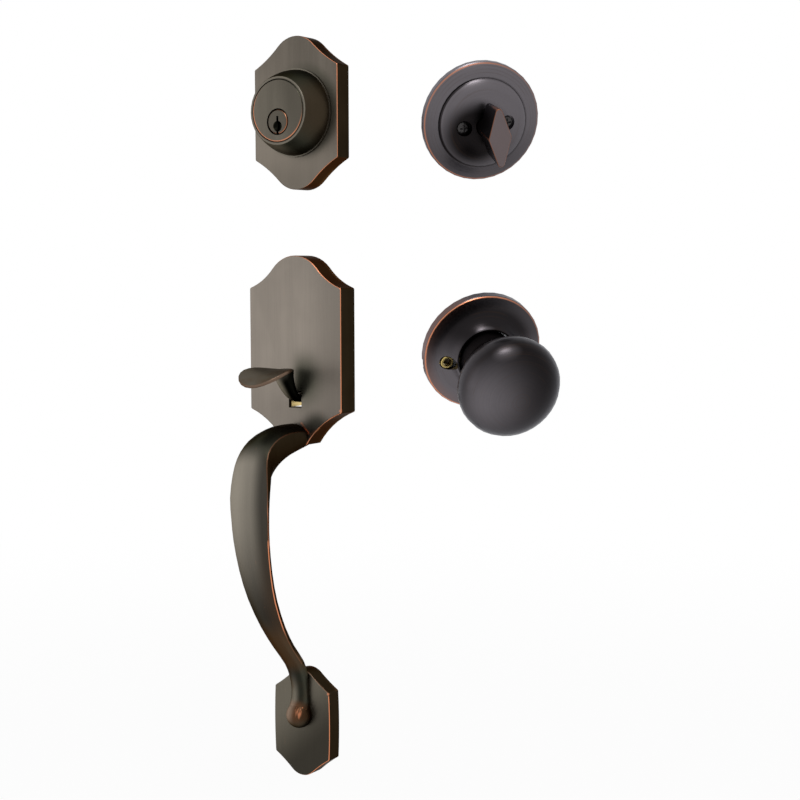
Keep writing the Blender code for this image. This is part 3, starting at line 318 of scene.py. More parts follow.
class StudioSizes(PropertyGroup):
    azimuth: FloatProperty(
        name="Azimuth", description="Direction of the camera round the handleset",
        subtype="ANGLE", default=radians(32.49))
    pitch: FloatProperty(
        name="Pitch", description="Height angle of the camera",
        subtype="ANGLE", default=radians(4.72))
    roll: FloatProperty(
        name="Roll", description="Turn of the camera about its own line of sight",
        subtype="ANGLE", default=radians(-0.16))
    distance: FloatProperty(
        name="Distance", description="From the camera to the point it looks at",
        unit="LENGTH", default=1.02374, min=0.2)
    aim: FloatVectorProperty(
        name="Aim", description="The point that the camera looks at",
        subtype="TRANSLATION", size=3, default=(0.07144, 0, 0.022))
    lens: FloatProperty(
        name="Lens", description="Focal length in millimetres", default=72, min=20, max=200)
    floor: FloatProperty(
        name="Floor", description="How far the floor lies under the lowest plate",
        unit="LENGTH", default=0.06, min=0)


# Pieces

# Corners nearer than WELD are joined, and faces that fold by less than FLAT are merged
WELD = 2e-6
FLAT = radians(0.15)

# A round's facets are narrower than NARROW, and CREASE is the least fold that gets a round
NARROW = 0.0007
CREASE = radians(35)

# The folds past which the shading breaks
SHARP_IN_A_ROUND = radians(60)
SHARP_ELSEWHERE = radians(30)
SHARP_ON_A_TURNED_PIECE = radians(40)

# How near a front's depth a round wears, and the limits of forward_of for every round or none
FRONT_REACH = 0.3 * MM
EVERYWHERE = -1
NOWHERE = 1


def is_narrow(face):
    """Whether a face is one facet of an edge's round."""
    return face.calc_area() < NARROW * max(edge.calc_length() for edge in face.edges)


def fold(edge):
    """How far an edge's faces turn away from each other, more than 0 where it stands out."""
    return edge.calc_face_angle_signed() if edge.is_manifold else 0


def is_sharp(edge, narrow):
    """Whether the shading breaks at an edge."""
    in_a_round = all(face in narrow for face in edge.link_faces)
    limit = SHARP_IN_A_ROUND if in_a_round else SHARP_ELSEWHERE
    return not edge.is_manifold or edge.calc_face_angle() > limit


def is_worn(vert, narrow, fronts, forward_of):
    """Whether a corner lies within a round, at a front's depth or further out than forward_of."""
    if not all(face in narrow for face in vert.link_faces):
        return False
    out = -vert.co.y
    return out > forward_of or any(abs(out - front) < FRONT_REACH for front in fronts)


def add_object(name, work):
    """Makes an object from a worked mesh and links it to the scene."""
    mesh = bpy.data.meshes.new(name)
    work.to_mesh(mesh)
    work.free()
    added = bpy.data.objects.new(name, mesh)
    bpy.context.scene.collection.objects.link(added)
    return added


def worn_copy(node, body, line=0, fronts=(), forward_of=EVERYWHERE):
    """A copy of a CAD node whose rounded edges know how worn they are.

    Fronts are the depths at which the plates' rounds wear. Further out than forward_of every round
    wears, and where there is a line, sharp edges there get a round of that width.
    """
    work = bmesh.new()
    work.from_mesh(frame["nodes"][node].data)
    bmesh.ops.remove_doubles(work, verts=work.verts, dist=WELD)
    bmesh.ops.dissolve_limit(work, angle_limit=FLAT, verts=work.verts, edges=work.edges)
    if line:
        corners = [edge for edge in work.edges if fold(edge) > CREASE
                   and all(-vert.co.y > forward_of for vert in edge.verts)]
        bmesh.ops.bevel(work, geom=corners, offset=line, segments=2, profile=0.5,
                        affect="EDGES", clamp_overlap=True)
    narrow = {face for face in work.faces if is_narrow(face)}
    wear = work.verts.layers.float.new("wear")
    for vert in work.verts:
        vert[wear] = float(is_worn(vert, narrow, fronts, forward_of))
    for face in work.faces:
        face.smooth = True
    for edge in work.edges:
        edge.smooth = not is_sharp(edge, narrow)
    bmesh.ops.triangulate(work, faces=[face for face in work.faces if len(face.verts) > 4])
    piece = add_object(f"{node}_worn", work)
    weighted = piece.modifiers.new("Flat faces first", "WEIGHTED_NORMAL")
    weighted.keep_sharp = True
    weighted.weight = 100
    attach(piece, body)
    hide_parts(node)
    return piece


def turned_piece(name, profile, centre, axis, body, steps=24):
    """A closed turned piece from a profile of radius and place along the axis, pole to pole."""
    work = bmesh.new()
    rings = []
    for radius, out in profile:
        count = steps if radius else 1
        turns = [2 * pi * step / count for step in range(count)]
        rings.append([work.verts.new((radius * cos(turn), radius * sin(turn), out))
                      for turn in turns])
    for low, high in zip(rings, rings[1:]):
        for step in range(steps):
            after = (step + 1) % steps
            corners = (low[step % len(low)], low[after % len(low)],
                       high[after % len(high)], high[step % len(high)])
            work.faces.new(dict.fromkeys(corners))
    bmesh.ops.recalc_face_normals(work, faces=work.faces)
    for face in work.faces:
        face.smooth = True
    for edge in work.edges:
        edge.smooth = edge.calc_face_angle() < SHARP_ON_A_TURNED_PIECE
    turn = Vector(UP).rotation_difference(Vector(axis)).to_matrix().to_4x4()
    bmesh.ops.transform(work, matrix=Matrix.Translation(centre) @ turn, verts=work.verts)
    piece = add_object(name, work)
    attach(piece, body)
    return piece


def paint(piece, finish):
    piece.data.materials.clear()
    piece.data.materials.append(finish.material)


def paint_node(node, finish):
    """Gives a CAD node's own slots the finish."""
    for slot in frame["nodes"][node].material_slots:
        slot.material = finish.material


# Finishes

RIGHT = (1, 0, 0)
INWARD = (0, 1, 0)
OUTWARD = (0, -1, 0)
UP = (0, 0, 1)

# Tints of the reflection where a surface turns away
EDGE_OUTSIDE = (0.36, 0.34, 0.32, 1)
EDGE_INSIDE = (0.85, 0.85, 0.88, 1)

# Places on the handle casting; the first two are the centres of painted shadows
THUMB_SHADE = (0.0062, -0.0158, 0.0332)
ROOT_SHADE = (0.0170, -0.0158, 0.0020)
SLOT = (0.0065, -0.0150, 0.0210)
VEE_TIP = (0.0118, -0.0157, -0.0023)
VEE_LEFT = (0.0050, -0.0158, 0.0050)
VEE_RIGHT = (0.0185, -0.0148, 0.0022)
PLATE_CORNER = (0.0358, -0.0155, 0.0145)
FOOT_CORNER = (0.0214, -0.0109, -0.1745)
DROP = (0.0, -0.0138, -0.1906)
DROP_SHINE = (0.0046, -0.0222, -0.1865)

# The drop's painted lit and shaded tones
DROP_LIT = (0.34, 0.25, 0.19)
DROP_SHADED = (0.085, 0.042, 0.022)

# Worn rims, each by its radius and its place along the axis
LOCK_RIM = (0.0192, 0.0322)
PLUG_RIM = (0.0074, 0.0323)
TURN_RIM = (0.0325, 0.0041)
KNOB_RIM = (0.0327, 0.0051)

# The soft steps that several finishes share
FRONT = (0.3, 0.97)
GRIP_DEPTH = (0.0165, 0.0175)
IN_BANDS = (0.3, 0.7)
IN_CLOUDS = (0.45, 0.7)

# Directions of the knob's painted light: where it is brightest, and where its painted highlight sits
KNOB_LIT = Vector((0.206, -0.912, -0.36)).normalized()
KNOB_HIGHLIGHT = Vector((0.44, -0.70, 0.56)).normalized()

METAL_GRAIN = 900
METAL_CLOUDS = 90


def shade(value, amount):
    return tuple(min(1, part * amount) for part in value)


def brushing(finish):
    """Fine upright brush marks, wide upright bands and soft clouds, each from 0 to 1."""
    streaks = finish.noise(finish.stretched(1500, 400, 30), 1, 4, 0.6)
    bands = finish.noise(finish.stretched(85, 60, 7), 1, 3)
    clouds = finish.noise(finish.place, 50, 4)
    return streaks, bands, clouds


def coppered(finish, colours, coat, edge, tint, roughness, marks, depth):
    """Sets the shader: a coat with copper over it by the edge's share, and brush marks."""
    finish.set(Base_Color=finish.blend(edge, coat, colours.copper), Specular_Tint=tint)
    finish.set(Metallic=1.0, Roughness=roughness)
    finish.bump(marks, depth)
    return finish


def finish_bronze(finish, colours, coat, edge, streaks):
    """The outside bronze: brush marks over a coat, and copper over both."""
    marks = finish.blend(streaks, (0.33, 0.33, 0.33), (0.69, 0.69, 0.69))
    coat = finish.blend(0.3, coat, marks, "OVERLAY")
    roughness = 0.40 - edge * 0.08 + (streaks - 0.5) * 0.1
    return coppered(finish, colours, coat, edge, EDGE_OUTSIDE, roughness, streaks, 0.08)


def flank_coat(finish, colours, clouds, painted_light):
    """The sides: dark, partly painted shade, with painted light where they face up, warmer where they face down,
    and rubbed by the door.
    """
    up = finish.along(finish.normal, UP)
    near_door = finish.smooth(finish.along(finish.place, INWARD), -0.0045, 0)
    rubbed = near_door * finish.smooth(clouds, 0.35, 0.65) * finish.smooth(up.size(), 0.1, 0.6)
    return finish.layers(
        shade(colours.flank, 0.75),
        (clouds, shade(colours.flank, 1.4)),
        # painted light on the sides' upward faces
        (finish.smooth(up, 0.25, 0.95) * painted_light, shade(colours.umber, 0.8)),
        (finish.smooth(-up, 0.3, 0.95) * 0.5, colours.umber),
        (rubbed * 0.55, shade(colours.umber, 1.7)),
    )


def copper_line(finish, clouds, wear):
    """Copper by the wear, most on surfaces that turn right and a little more on ends."""
    turned = finish.along(finish.normal, RIGHT)
    ends = finish.along(finish.normal, UP).size()
    reach = 0.40 + finish.smooth(turned, 0.1, 0.55) * 0.5 + finish.smooth(ends, 0.35, 0.75) * 0.12
    worn = wear * reach + (clouds - 0.5) * 0.5
    return finish.smooth(worn, 0.34, 0.72) * finish.smooth(wear, 0.15, 0.5)


def deadbolt_bronze(colours, centre):
    """The deadbolt's plate: painted light towards lower left, darker along its bottom, and a painted shadow to the
    right of the collar's foot.
    """
    finish = Finish("deadbolt_bronze")
    streaks, bands, clouds = brushing(finish)
    facing = finish.along(finish.normal, OUTWARD)
    height = finish.beyond(centre, UP)
    across = finish.beyond(centre, RIGHT)
    lower_left = finish.beyond(centre, (-0.6, 0, -0.8))
    # the painted shadow that the collar casts on the plate
    collar_foot = centre + Vector((0.0035, 0, 0.001))
    shadow_ring = finish.spot(collar_foot, 0.0270, 0.0335, (1, 0, 1)) * finish.smooth(across, -0.02, 0.022)
    # painted light is palest towards lower left
    face = finish.layers(
        shade(colours.deadbolt, 0.56),
        (finish.smooth(lower_left, -0.036, 0.034), colours.deadbolt),
        (finish.fade(height, -0.046, -0.022) * 0.7, shade(colours.deadbolt, 0.66)),
        (finish.smooth(bands, *IN_BANDS) * 0.25, shade(colours.deadbolt, 1.2)),
        (shadow_ring * 0.55, shade(colours.shadow, 6)),
    )
    flank = flank_coat(finish, colours, clouds, 0.1)
    coat = finish.blend(finish.smooth(facing, *FRONT), flank, face)
    edge = copper_line(finish, clouds, finish.attribute("wear"))
    return finish_bronze(finish, colours, coat, edge, streaks)


def lock_face(finish, colours, bands, plug_radius, collar_centre):
    """The lock's brushed face: a darker plug, and a shadow towards upper right."""
    upper_right = finish.beyond(collar_centre, (0.8, 0, 0.3))
    return finish.layers(
        shade(colours.lock, 0.9),
        (finish.smooth(bands, *IN_BANDS), shade(colours.lock, 1.1)),
        (finish.fade(plug_radius, 0.0079, 0.0081), shade(colours.lock, 0.78)),
        (finish.smooth(upper_right, -0.006, 0.013) * 0.7, shade(colours.lock, 0.6)),
    )


def collar_coat(finish, colours, clouds, right, lip):
    """The collar's cone: dark with painted shade, warm on its right, with a painted highlight below and another
    along its lip.
    """
    low = finish.along(finish.normal, (-0.45, -0.2, -0.87))
    return finish.layers(
        shade(colours.shadow, 3.2),
        (clouds, shade(colours.shadow, 4.6)),
        (finish.smooth(right, 0.45, 0.95), shade(colours.flank, 1.7)),
        # painted highlights where the cone faces down and left, and along its lip
        (finish.smooth(low, 0.7, 0.98) * 0.7, shade(colours.lock, 1.2)),
        (lip, shade(colours.lock, 1.45)),
    )


def lock_bronze(colours, edges, collar_centre, plug_centre):
    """The collar, the lock face and the plug, turned about the door's normal."""
    finish = Finish("lock_bronze")
    streaks, bands, clouds = brushing(finish)
    collar_radius, out = turned_places(finish, collar_centre, OUTWARD)
    plug_radius, _ = turned_places(finish, plug_centre, OUTWARD)
    right = finish.along(finish.normal, RIGHT)
    facing = finish.along(finish.normal, OUTWARD)
    flat = finish.smooth(facing, 0.9, 0.98)
    # Painted highlights lie along the collar's lip and on the right of its foot; painted shade fills the grooves
    # round the lock face and the plug, and the keyway.
    lip = finish.smooth(facing, 0.45, 0.8) * finish.smooth(collar_radius, 0.0204, 0.0210)
    foot_highlight = finish.band(out, (0.0128, 0.0133), (0.0139, 0.0146))
    gap = finish.band(collar_radius, (0.0194, 0.0200), (0.0212, 0.0216))
    shadow_ring = finish.band(plug_radius, (0.0075, 0.0077), (0.0084, 0.0087))
    sunk = finish.fade(out, 0.0316, 0.0321)
    keyway = finish.fade(plug_radius, 0.0060, 0.0066) * finish.fade(out, 0.0321, 0.0324)
    coat = finish.layers(
        collar_coat(finish, colours, clouds, right, lip),
        (flat, lock_face(finish, colours, bands, plug_radius, collar_centre)),
        (lip * flat, shade(colours.lock, 1.3)),
        (foot_highlight * finish.smooth(right, 0.3, 0.8) * 0.8, shade(colours.lock, 1.6)),
        ((gap.most(shadow_ring) * sunk).most(keyway), shade(colours.shadow, 0.6)),
    )
    lower_left = finish.beyond(collar_centre, (-0.45, 0, -0.89))
    reach = 0.27 + finish.smooth(lower_left, -0.018, 0.014) * 0.24
    rims = rim_line(finish, collar_radius, out, LOCK_RIM, edges.rim)
    rims = rims.most(rim_line(finish, plug_radius, out, PLUG_RIM, edges.rim * 0.8))
    edge = finish.smooth(rims * reach + (clouds - 0.5) * 0.3, 0.25, 0.75) * (1 - keyway)
    return finish_bronze(finish, colours, coat, edge, streaks)


def plate_coat(finish, colours, bands, right, up, root_shade):
    """The upper plate's front: blotched, with painted shade to its right, above and below, and painted shadows of
    the thumbpiece and the grip's root.
    """
    blotches = finish.noise(finish.stretched(30, 30, 22), 1, 3)
    thumb_shade = finish.spot(THUMB_SHADE, 0.002, 0.0205, (0.92, 0, 0.8))
    return finish.layers(
        shade(colours.plate, 0.93),
        (finish.smooth(bands, *IN_BANDS), shade(colours.plate, 1.03)),
        (finish.smooth(blotches, 0.35, 0.65) * 0.35, shade(colours.plate, 0.74)),
        (finish.smooth(right, 0.004, 0.034) * 0.9, shade(colours.plate, 0.7)),
        (finish.fade(up, 0.008, 0.05) * 0.4, shade(colours.plate, 0.58)),
        (finish.smooth(up, 0.088, 0.112) * 0.4, shade(colours.plate, 0.72)),
        (thumb_shade * finish.smooth(right, -0.006, 0.004) * 0.92, shade(colours.shadow, 9.5)),
        (root_shade * 0.8, shade(colours.shadow, 3)),
    )


def foot_coat(finish, colours, right, up):
    """The lower plate's front, which darkens towards lower right."""
    fall = up - right * 0.9
    return finish.blend(
        finish.smooth(fall, -0.222, -0.172), shade(colours.foot, 0.30), shade(colours.foot, 0.98))


def blade_coat(finish, colours, right, up):
    """The grip's blade: painted light on its left above, and painted shade on its right and lower down."""
    share = right / 0.0150
    turned = finish.along(finish.normal, RIGHT)
    pale = finish.layers(
        shade(colours.grip, 1.08),
        (finish.smooth(share, -0.75, 0.1), shade(colours.grip, 0.73)),
        (finish.smooth(share, 0.1, 0.75), shade(colours.grip, 0.2)),
        # painted shade where the surface turns right
        (finish.smooth(turned, 0.28, 0.5), shade(colours.flank, 1.3)),
    )
    deep = finish.layers(
        shade(colours.grip, 0.19),
        (finish.smooth(share, -0.3, 0.3), shade(colours.grip, 0.12)),
        (finish.smooth(right, -0.002, 0.012) * 0.5, shade(colours.umber, 0.7)),
    )
    return finish.blend(finish.smooth(up, -0.118, -0.05), deep, pale)


def neck_coat(finish, colours, clouds, right, up):
    """The grip's neck: a painted highlight down its left, painted shade near black on its right, and rubbed in
    clouds.
    """
    return finish.layers(
        shade(colours.foot, 1.15),
        (finish.smooth(up, -0.176, -0.160), shade(colours.grip, 0.17)),
        (finish.smooth(right, -0.0015, 0.0035), shade(colours.shadow, 2.4)),
        (finish.smooth(right, 0.0042, 0.0062), shade(colours.shadow, 5.5)),
        (finish.smooth(clouds, *IN_CLOUDS) * 0.35, shade(colours.umber, 0.8)),
    )


def drop_coat(finish, colours, right, up):
    """The drop at the grip's end: painted light on its left, and painted shade on its right and below."""
    return finish.layers(
        DROP_LIT,
        (finish.smooth(right, -0.006, 0.002), DROP_SHADED),
        (finish.smooth(right, 0.003, 0.008), shade(colours.umber, 0.42)),
        (finish.fade(up, -0.1975, -0.190) * 0.8, shade(colours.shadow, 4)),
    )


def casting_edge(finish, clouds, facing, up, out, root_shade):
    """Copper on the casting's rounds and corners, in a V at the grip's root and on the drop."""
    wear = finish.attribute("wear")
    front_wear = finish.smooth(wear, 0.0, 0.06) * finish.band(facing, (0.15, 0.45), (0.86, 0.97))
    on_grip = finish.smooth(out, 0.0164, 0.0167)
    wear = front_wear * (1 - on_grip) + wear * on_grip
    root = finish.smooth(out, *GRIP_DEPTH) * finish.smooth(up, -0.064, -0.034)
    neck = finish.fade(up, -0.135, -0.120) * finish.smooth(up, -0.1765, -0.1750)
    slot = finish.spot(SLOT, 0.008, 0.010)
    edge = copper_line(finish, clouds, wear) * (1 - root * 0.9) * (1 - neck * 0.9)
    # copper is dimmed under the painted shadow at the grip's root
    edge = edge * (1 - slot) * (1 - root_shade * 0.6)
    corners = (finish.spot(PLATE_CORNER, 0.0003, 0.0015) * 0.5).most(
        finish.spot(FOOT_CORNER, 0.0003, 0.0013) * 0.6)
    vee = (finish.stroke(VEE_TIP, VEE_LEFT, 0.0001, 0.0012) * 0.8).most(
        finish.stroke(VEE_TIP, VEE_RIGHT, 0.0001, 0.0014) * 0.5)
    marks = finish.noise(finish.stretched(800, 300, 60), 1, 2)
    shine = finish.spot(DROP_SHINE, 0.0006, 0.0058, (1, 1, 0.62))
    shine = finish.smooth(shine + (marks - 0.5) * 2.2, 0.45, 1.15)
    return edge.most(corners).most(vee * 0.55).most(shine * 0.65)


def casting_bronze(colours):
    """The handle casting: a pale upper plate, a grip with painted shade that darkens downwards, and a dark foot.
    """
    finish = Finish("casting_bronze")
    streaks, bands, clouds = brushing(finish)
    facing = finish.along(finish.normal, OUTWARD)
    right = finish.along(finish.place, RIGHT)
    up = finish.along(finish.place, UP)
    out = finish.along(finish.place, OUTWARD)
    root_shade = finish.spot(ROOT_SHADE, 0.004, 0.015)
    drop = finish.spot(DROP, 0.0090, 0.0125)
    belt = finish.band(up, (-0.163, -0.152), (-0.136, -0.118))
    # painted shade on the grip's upward faces near its root
    bend_shade = finish.smooth(finish.along(finish.normal, UP), 0.2, 0.8)
    grip = finish.layers(
        blade_coat(finish, colours, right, up),
        (finish.fade(up, -0.150, -0.122), neck_coat(finish, colours, clouds, right, up)),
        (belt * 0.55, colours.umber),
        (bend_shade * finish.smooth(up, -0.06, -0.03), shade(colours.shadow, 3.6)),
        (drop, drop_coat(finish, colours, right, up)),
    )
    plate = plate_coat(finish, colours, bands, right, up, root_shade)
    upper = finish.blend(finish.smooth(out, 0.0161, 0.0172), plate, grip)
    foot = foot_coat(finish, colours, right, up)
    lower = finish.blend(finish.smooth(out, 0.0114, 0.0122), foot, grip)
    face = finish.blend(finish.smooth(up, -0.13, -0.03), lower, upper)
    over_foot = finish.smooth(out, 0.0112, 0.0118) * finish.fade(up, -0.150, -0.140)
    shown = finish.smooth(facing, *FRONT)
    shown = shown.most(over_foot * finish.smooth(facing, -0.3, 0.0))
    shown = shown.most(finish.smooth(out, *GRIP_DEPTH) * finish.smooth(facing, -0.1, 0.4))
    # painted light where the upper plate's sides face up
    flank = flank_coat(finish, colours, clouds, finish.smooth(up, 0.0, 0.05) * 0.4)
    coat = finish.blend(shown.most(drop), flank, face)
    edge = casting_edge(finish, clouds, facing, up, out, root_shade)
    return finish_bronze(finish, colours, coat, edge, streaks)


def paddle_bronze(colours):
    """The thumbpiece: a dark paddle with painted light on its top and a worn rim, and a neck with a painted
    highlight on its left and painted shade on its right and next to the plate.
    """
    finish = Finish("paddle_bronze")
    streaks, _, clouds = brushing(finish)
    right = finish.along(finish.normal, RIGHT)
    up = finish.along(finish.normal, UP)
    out = finish.along(finish.place, OUTWARD)
    neck = finish.fade(out, 0.030, 0.036)
    # the neck: painted shade, a painted highlight where it faces left, and painted shade again next to the plate
    neck_paint = finish.layers(
        shade(colours.shadow, 0.4),
        (finish.smooth(-right, -0.25, 0.5), shade(colours.foot, 2.0)),
        (finish.fade(out, 0.0170, 0.0200), shade(colours.shadow, 0.6)),
    )
    # painted light on the paddle's top
    on_top = finish.smooth(up, 0.5, 0.9)
    coat = finish.layers(
        shade(colours.flank, 1.5),
        (clouds, shade(colours.flank, 2.6)),
        (on_top, shade(colours.grip, 0.5)),
        (finish.fade(up.size(), 0.45, 0.8), shade(colours.foot, 0.7)),
        (finish.smooth(clouds, *IN_CLOUDS) * on_top * 0.5, colours.umber),
        (neck, neck_paint),
    )
    worn = finish.attribute("wear") * (1 - neck) + (clouds - 0.5) * 0.5
    edge = finish.smooth(worn, 0.4, 1.0) * (1 - neck) * 0.09
    return finish_bronze(finish, colours, coat, edge, streaks)


def turned_places(finish, centre, axis):
    """The distance from a unit's axis, and along it from a centre."""
    offset = finish.offset(centre)
    out = finish.along(offset, axis)
    radius = (finish.length(offset) ** 2 - out ** 2).most(0).root()
    return radius, out


def rim_line(finish, radius, out, rim, width):
    """1 on a circle about the axis, given by its radius and its place along the axis."""
    rim_radius, rim_out = rim
    gap = ((radius - rim_radius) ** 2 + (out - rim_out) ** 2).root()
    return finish.fade(gap, width * 0.45, width * 1.3)


class Turned:
    """A turned unit: its centre, its axis out of the rose, and its own up and right."""

    def __init__(self, joint):
        self.centre = Vector(joint["pos_m"])
        self.axis = Vector(joint["axis"]).normalized()
        self.up = (Vector(UP) - self.axis * self.axis.z).normalized()
        self.right = self.up.cross(self.axis)

    def at(self, right, up, out):
        """A place given in the unit's own directions."""
        return self.centre + self.right * right + self.up * up + self.axis * out


def inside_finish(name, unit):
    """A finish with circular brush marks about a unit's axis, and soft clouds."""
    finish = Finish(name)
    radius, out = turned_places(finish, unit.centre, unit.axis)
    rings = finish.node("ShaderNodeCombineXYZ", inputs={0: radius * 1300, 1: out * 1300, 2: 0.0})
    streaks = finish.noise(rings, 1, 3)
    clouds = finish.noise(finish.place, 55, 4)
    return finish, radius, out, streaks, clouds


def finish_inside(finish, colours, light, edge, streaks, clouds, roughness=0.32):
    """A coat from near black to soft grey by its share of painted light, warm arcs, and copper."""
    share = (light * (0.86 + (streaks - 0.5) * 0.3 + (clouds - 0.5) * 0.25)).least(1).most(0)
    warm = finish.smooth(streaks, 0.5, 0.72) * finish.smooth(clouds, 0.38, 0.62) * 0.32
    coat = finish.layers(
        colours.inside, (share, colours.soft), (warm, shade(colours.umber, 0.55)))
    roughness = roughness + (streaks - 0.5) * 0.1 + edge * 0.05
    return coppered(finish, colours, coat, edge, EDGE_INSIDE, roughness, streaks, 0.05)


def rim_copper(finish, unit, radius, out, rim, edges, clouds, strength):
    """The copper line round a rose: strong on the left, faint on the right."""
    side = finish.beyond(unit.centre, unit.right)
    reach = strength - finish.smooth(side, -0.006, 0.026) * strength * 0.65
    line = rim_line(finish, radius, out, rim, edges.rim)
    return finish.smooth(line + (clouds - 0.5) * 0.3, 0.12, 0.6) * reach


def turn_rose_bronze(colours, unit, edges):
    """The thumbturn's rose: soft grey by painted light from above, with a painted dark reflection of the thumbturn
    beside it, painted shade in its groove and a faint painted highlight at the crown's edge.
    """
    finish, radius, out, streaks, clouds = inside_finish("turn_rose_bronze", unit)
    height = finish.beyond(unit.centre, unit.up)
    side = finish.beyond(unit.centre, unit.right)
    reflection = finish.spot(unit.at(-0.005, -0.005, 0.0125), 0.0115, 0.0215)
    groove = finish.band(radius, (0.0240, 0.0243), (0.0252, 0.0256))
    crown_highlight = finish.band(radius, (0.0232, 0.0236), (0.0239, 0.0242))
    # painted light from above, less in the thumbturn's painted reflection, painted shade in the groove and a faint
    # painted highlight at the crown
    light = (0.62 + finish.smooth(height, -0.026, 0.014) * 0.55) * (1 - reflection)
    light = light * (1 - groove * (0.85 - finish.smooth(side, -0.020, 0.002) * 0.6))
    light = light + crown_highlight * finish.smooth(height, -0.016, 0.012) * 0.1
    edge = rim_copper(finish, unit, radius, out, TURN_RIM, edges, clouds, 0.38)
    return finish_inside(finish, colours, light, edge, streaks, clouds)


def turn_bronze(colours, unit):
    """The thumbturn: sides black with painted shade, an end face made paler by painted light, and thin copper
    edges.
    """
    finish, _, out, streaks, clouds = inside_finish("turn_bronze", unit)
    outward = finish.along(finish.normal, unit.axis)
    # painted light on the end face, where it points out along the axis
    light = finish.smooth(out, 0.0388, 0.0396) * finish.smooth(outward, 0.75, 0.95)
    coat = finish.layers(
        shade(colours.inside, 0.55),
        (light, colours.blade),
        (finish.smooth(clouds, 0.3, 0.7) * 0.06, shade(colours.umber, 0.6)),
    )
    edge = finish.smooth(finish.attribute("wear") + (clouds - 0.5) * 0.6, 0.3, 0.9) * 0.22
    roughness = 0.34 + (streaks - 0.5) * 0.1
    return coppered(finish, colours, coat, edge, EDGE_INSIDE, roughness, streaks, 0.05)


def knob_rose_bronze(colours, unit, edges):
    """The knob's rose: painted shade near black above, painted light grey below and near the rim, a curved painted
    highlight on its collar, and a copper left.
    """
    finish, radius, out, streaks, clouds = inside_finish("knob_rose_bronze", unit)
    height = finish.beyond(unit.centre, unit.up)
    side = finish.beyond(unit.centre, unit.right)
    # painted light below and near the rim, painted shade above, and a painted highlight on the collar
    light = 0.06 + finish.fade(height, -0.010, 0.014)
    light = light + finish.smooth(radius, 0.0240, 0.0320) * 0.5
    arc_highlight = finish.spot(unit.at(-0.0035, 0.0168, 0.0125), 0.0015, 0.0075)
    light = light.most(arc_highlight * finish.smooth(out, 0.0095, 0.0122) * 0.5)
    edge = rim_copper(finish, unit, radius, out, KNOB_RIM, edges, clouds, 0.72)
    rubbed = finish.smooth(radius, 0.0262, 0.0325) * finish.fade(side, -0.024, -0.004)
    return finish_inside(finish, colours, light, edge.most(rubbed * 0.10), streaks, clouds)


def knob_bronze(colours, unit):
    """The knob: near black, with painted light in a wide soft grey low down, a small painted highlight and a
    painted pale reflection along its rim.
    """
    finish, radius, _, streaks, clouds = inside_finish("knob_bronze", unit)
    # painted light, a painted highlight and a painted reflection at the rim, each by the normal
    bright = finish.along(finish.normal, KNOB_LIT).most(0)
    painted_light = finish.smooth(finish.along(finish.normal, KNOB_HIGHLIGHT), 0.95, 0.998)
    side = finish.along(finish.normal, unit.right).size()
    rim = finish.fade(finish.along(finish.normal, unit.axis), 0.05, 0.4) * 0.35
    rim = rim * finish.smooth(radius, 0.018, 0.024)
    light = bright ** 5 * 1.15 + rim * side + painted_light * 0.25
    return finish_inside(finish, colours, light, 0.0, streaks, clouds, 0.30)


def plain_metal(name, tone, roughness):
    """Plated steel or brass: small mottles and soft clouds."""
    finish = Finish(name)
    mottles = finish.noise(finish.place, METAL_GRAIN, 4)
    clouds = finish.noise(finish.place, METAL_CLOUDS, 3)
    finish.set(Base_Color=finish.blend(clouds, shade(tone, 0.78), shade(tone, 1.12)))
    finish.set(Metallic=1.0, Roughness=roughness + (mottles - 0.5) * 0.16)
    finish.bump(mottles, 0.1)
    return finish


# Operators

# Depths from the door: the fronts' rounds, and where the grip is clear of its plates
DEADBOLT_FRONT = 12.8 * MM
CASTING_FRONTS = (11.0 * MM, 15.6 * MM)
GRIP_CLEAR = 16.5 * MM

# A dark plug of painted shade inside a screw sleeve: radius and place along its axis
SLEEVE_SHADE_PLUG = (
    (0, -0.8 * MM),
    (2.3 * MM, -0.8 * MM),
    (2.3 * MM, 0.5 * MM),
    (1.7 * MM, 0.9 * MM),
    (0, 0.2 * MM),
)

# Plain metals: a slot's finish by its name, tone and roughness
METALS = {
    "gunmetal": ("gunmetal_plate", (0.055, 0.052, 0.052), 0.34),
    "yellow_zinc": ("yellow_zinc_plate", (0.78, 0.60, 0.26), 0.36),
    "bright_steel": ("zinc_plate", (0.62, 0.63, 0.65), 0.36),
    "spring_steel": ("spring_wire", (0.42, 0.42, 0.43), 0.3),
    "brass": ("turned_brass", (0.60, 0.46, 0.17), 0.28),
}

# Soft boxes: place from the handleset's middle, width and height, and radiance
LAMPS = {
    "lamp_left": ((-1.0, -1.2, 0.3), (1.0, 1.2), 0.35),
    "lamp_top": ((0.29, -0.36, 0.83), (0.24, 0.18), 16.0),
}
FLOOR_SIZE = 6
FLOOR_TONE = (0.92, 0.92, 0.92, 1)
WHITE = (1, 1, 1, 1)
WORLD_LIGHT = 0.75
SENSOR_WIDTH = 36
CAMERA_REACH = 50


def settings_of(context):
    return context.scene.handleset_colours, context.scene.handleset_edges


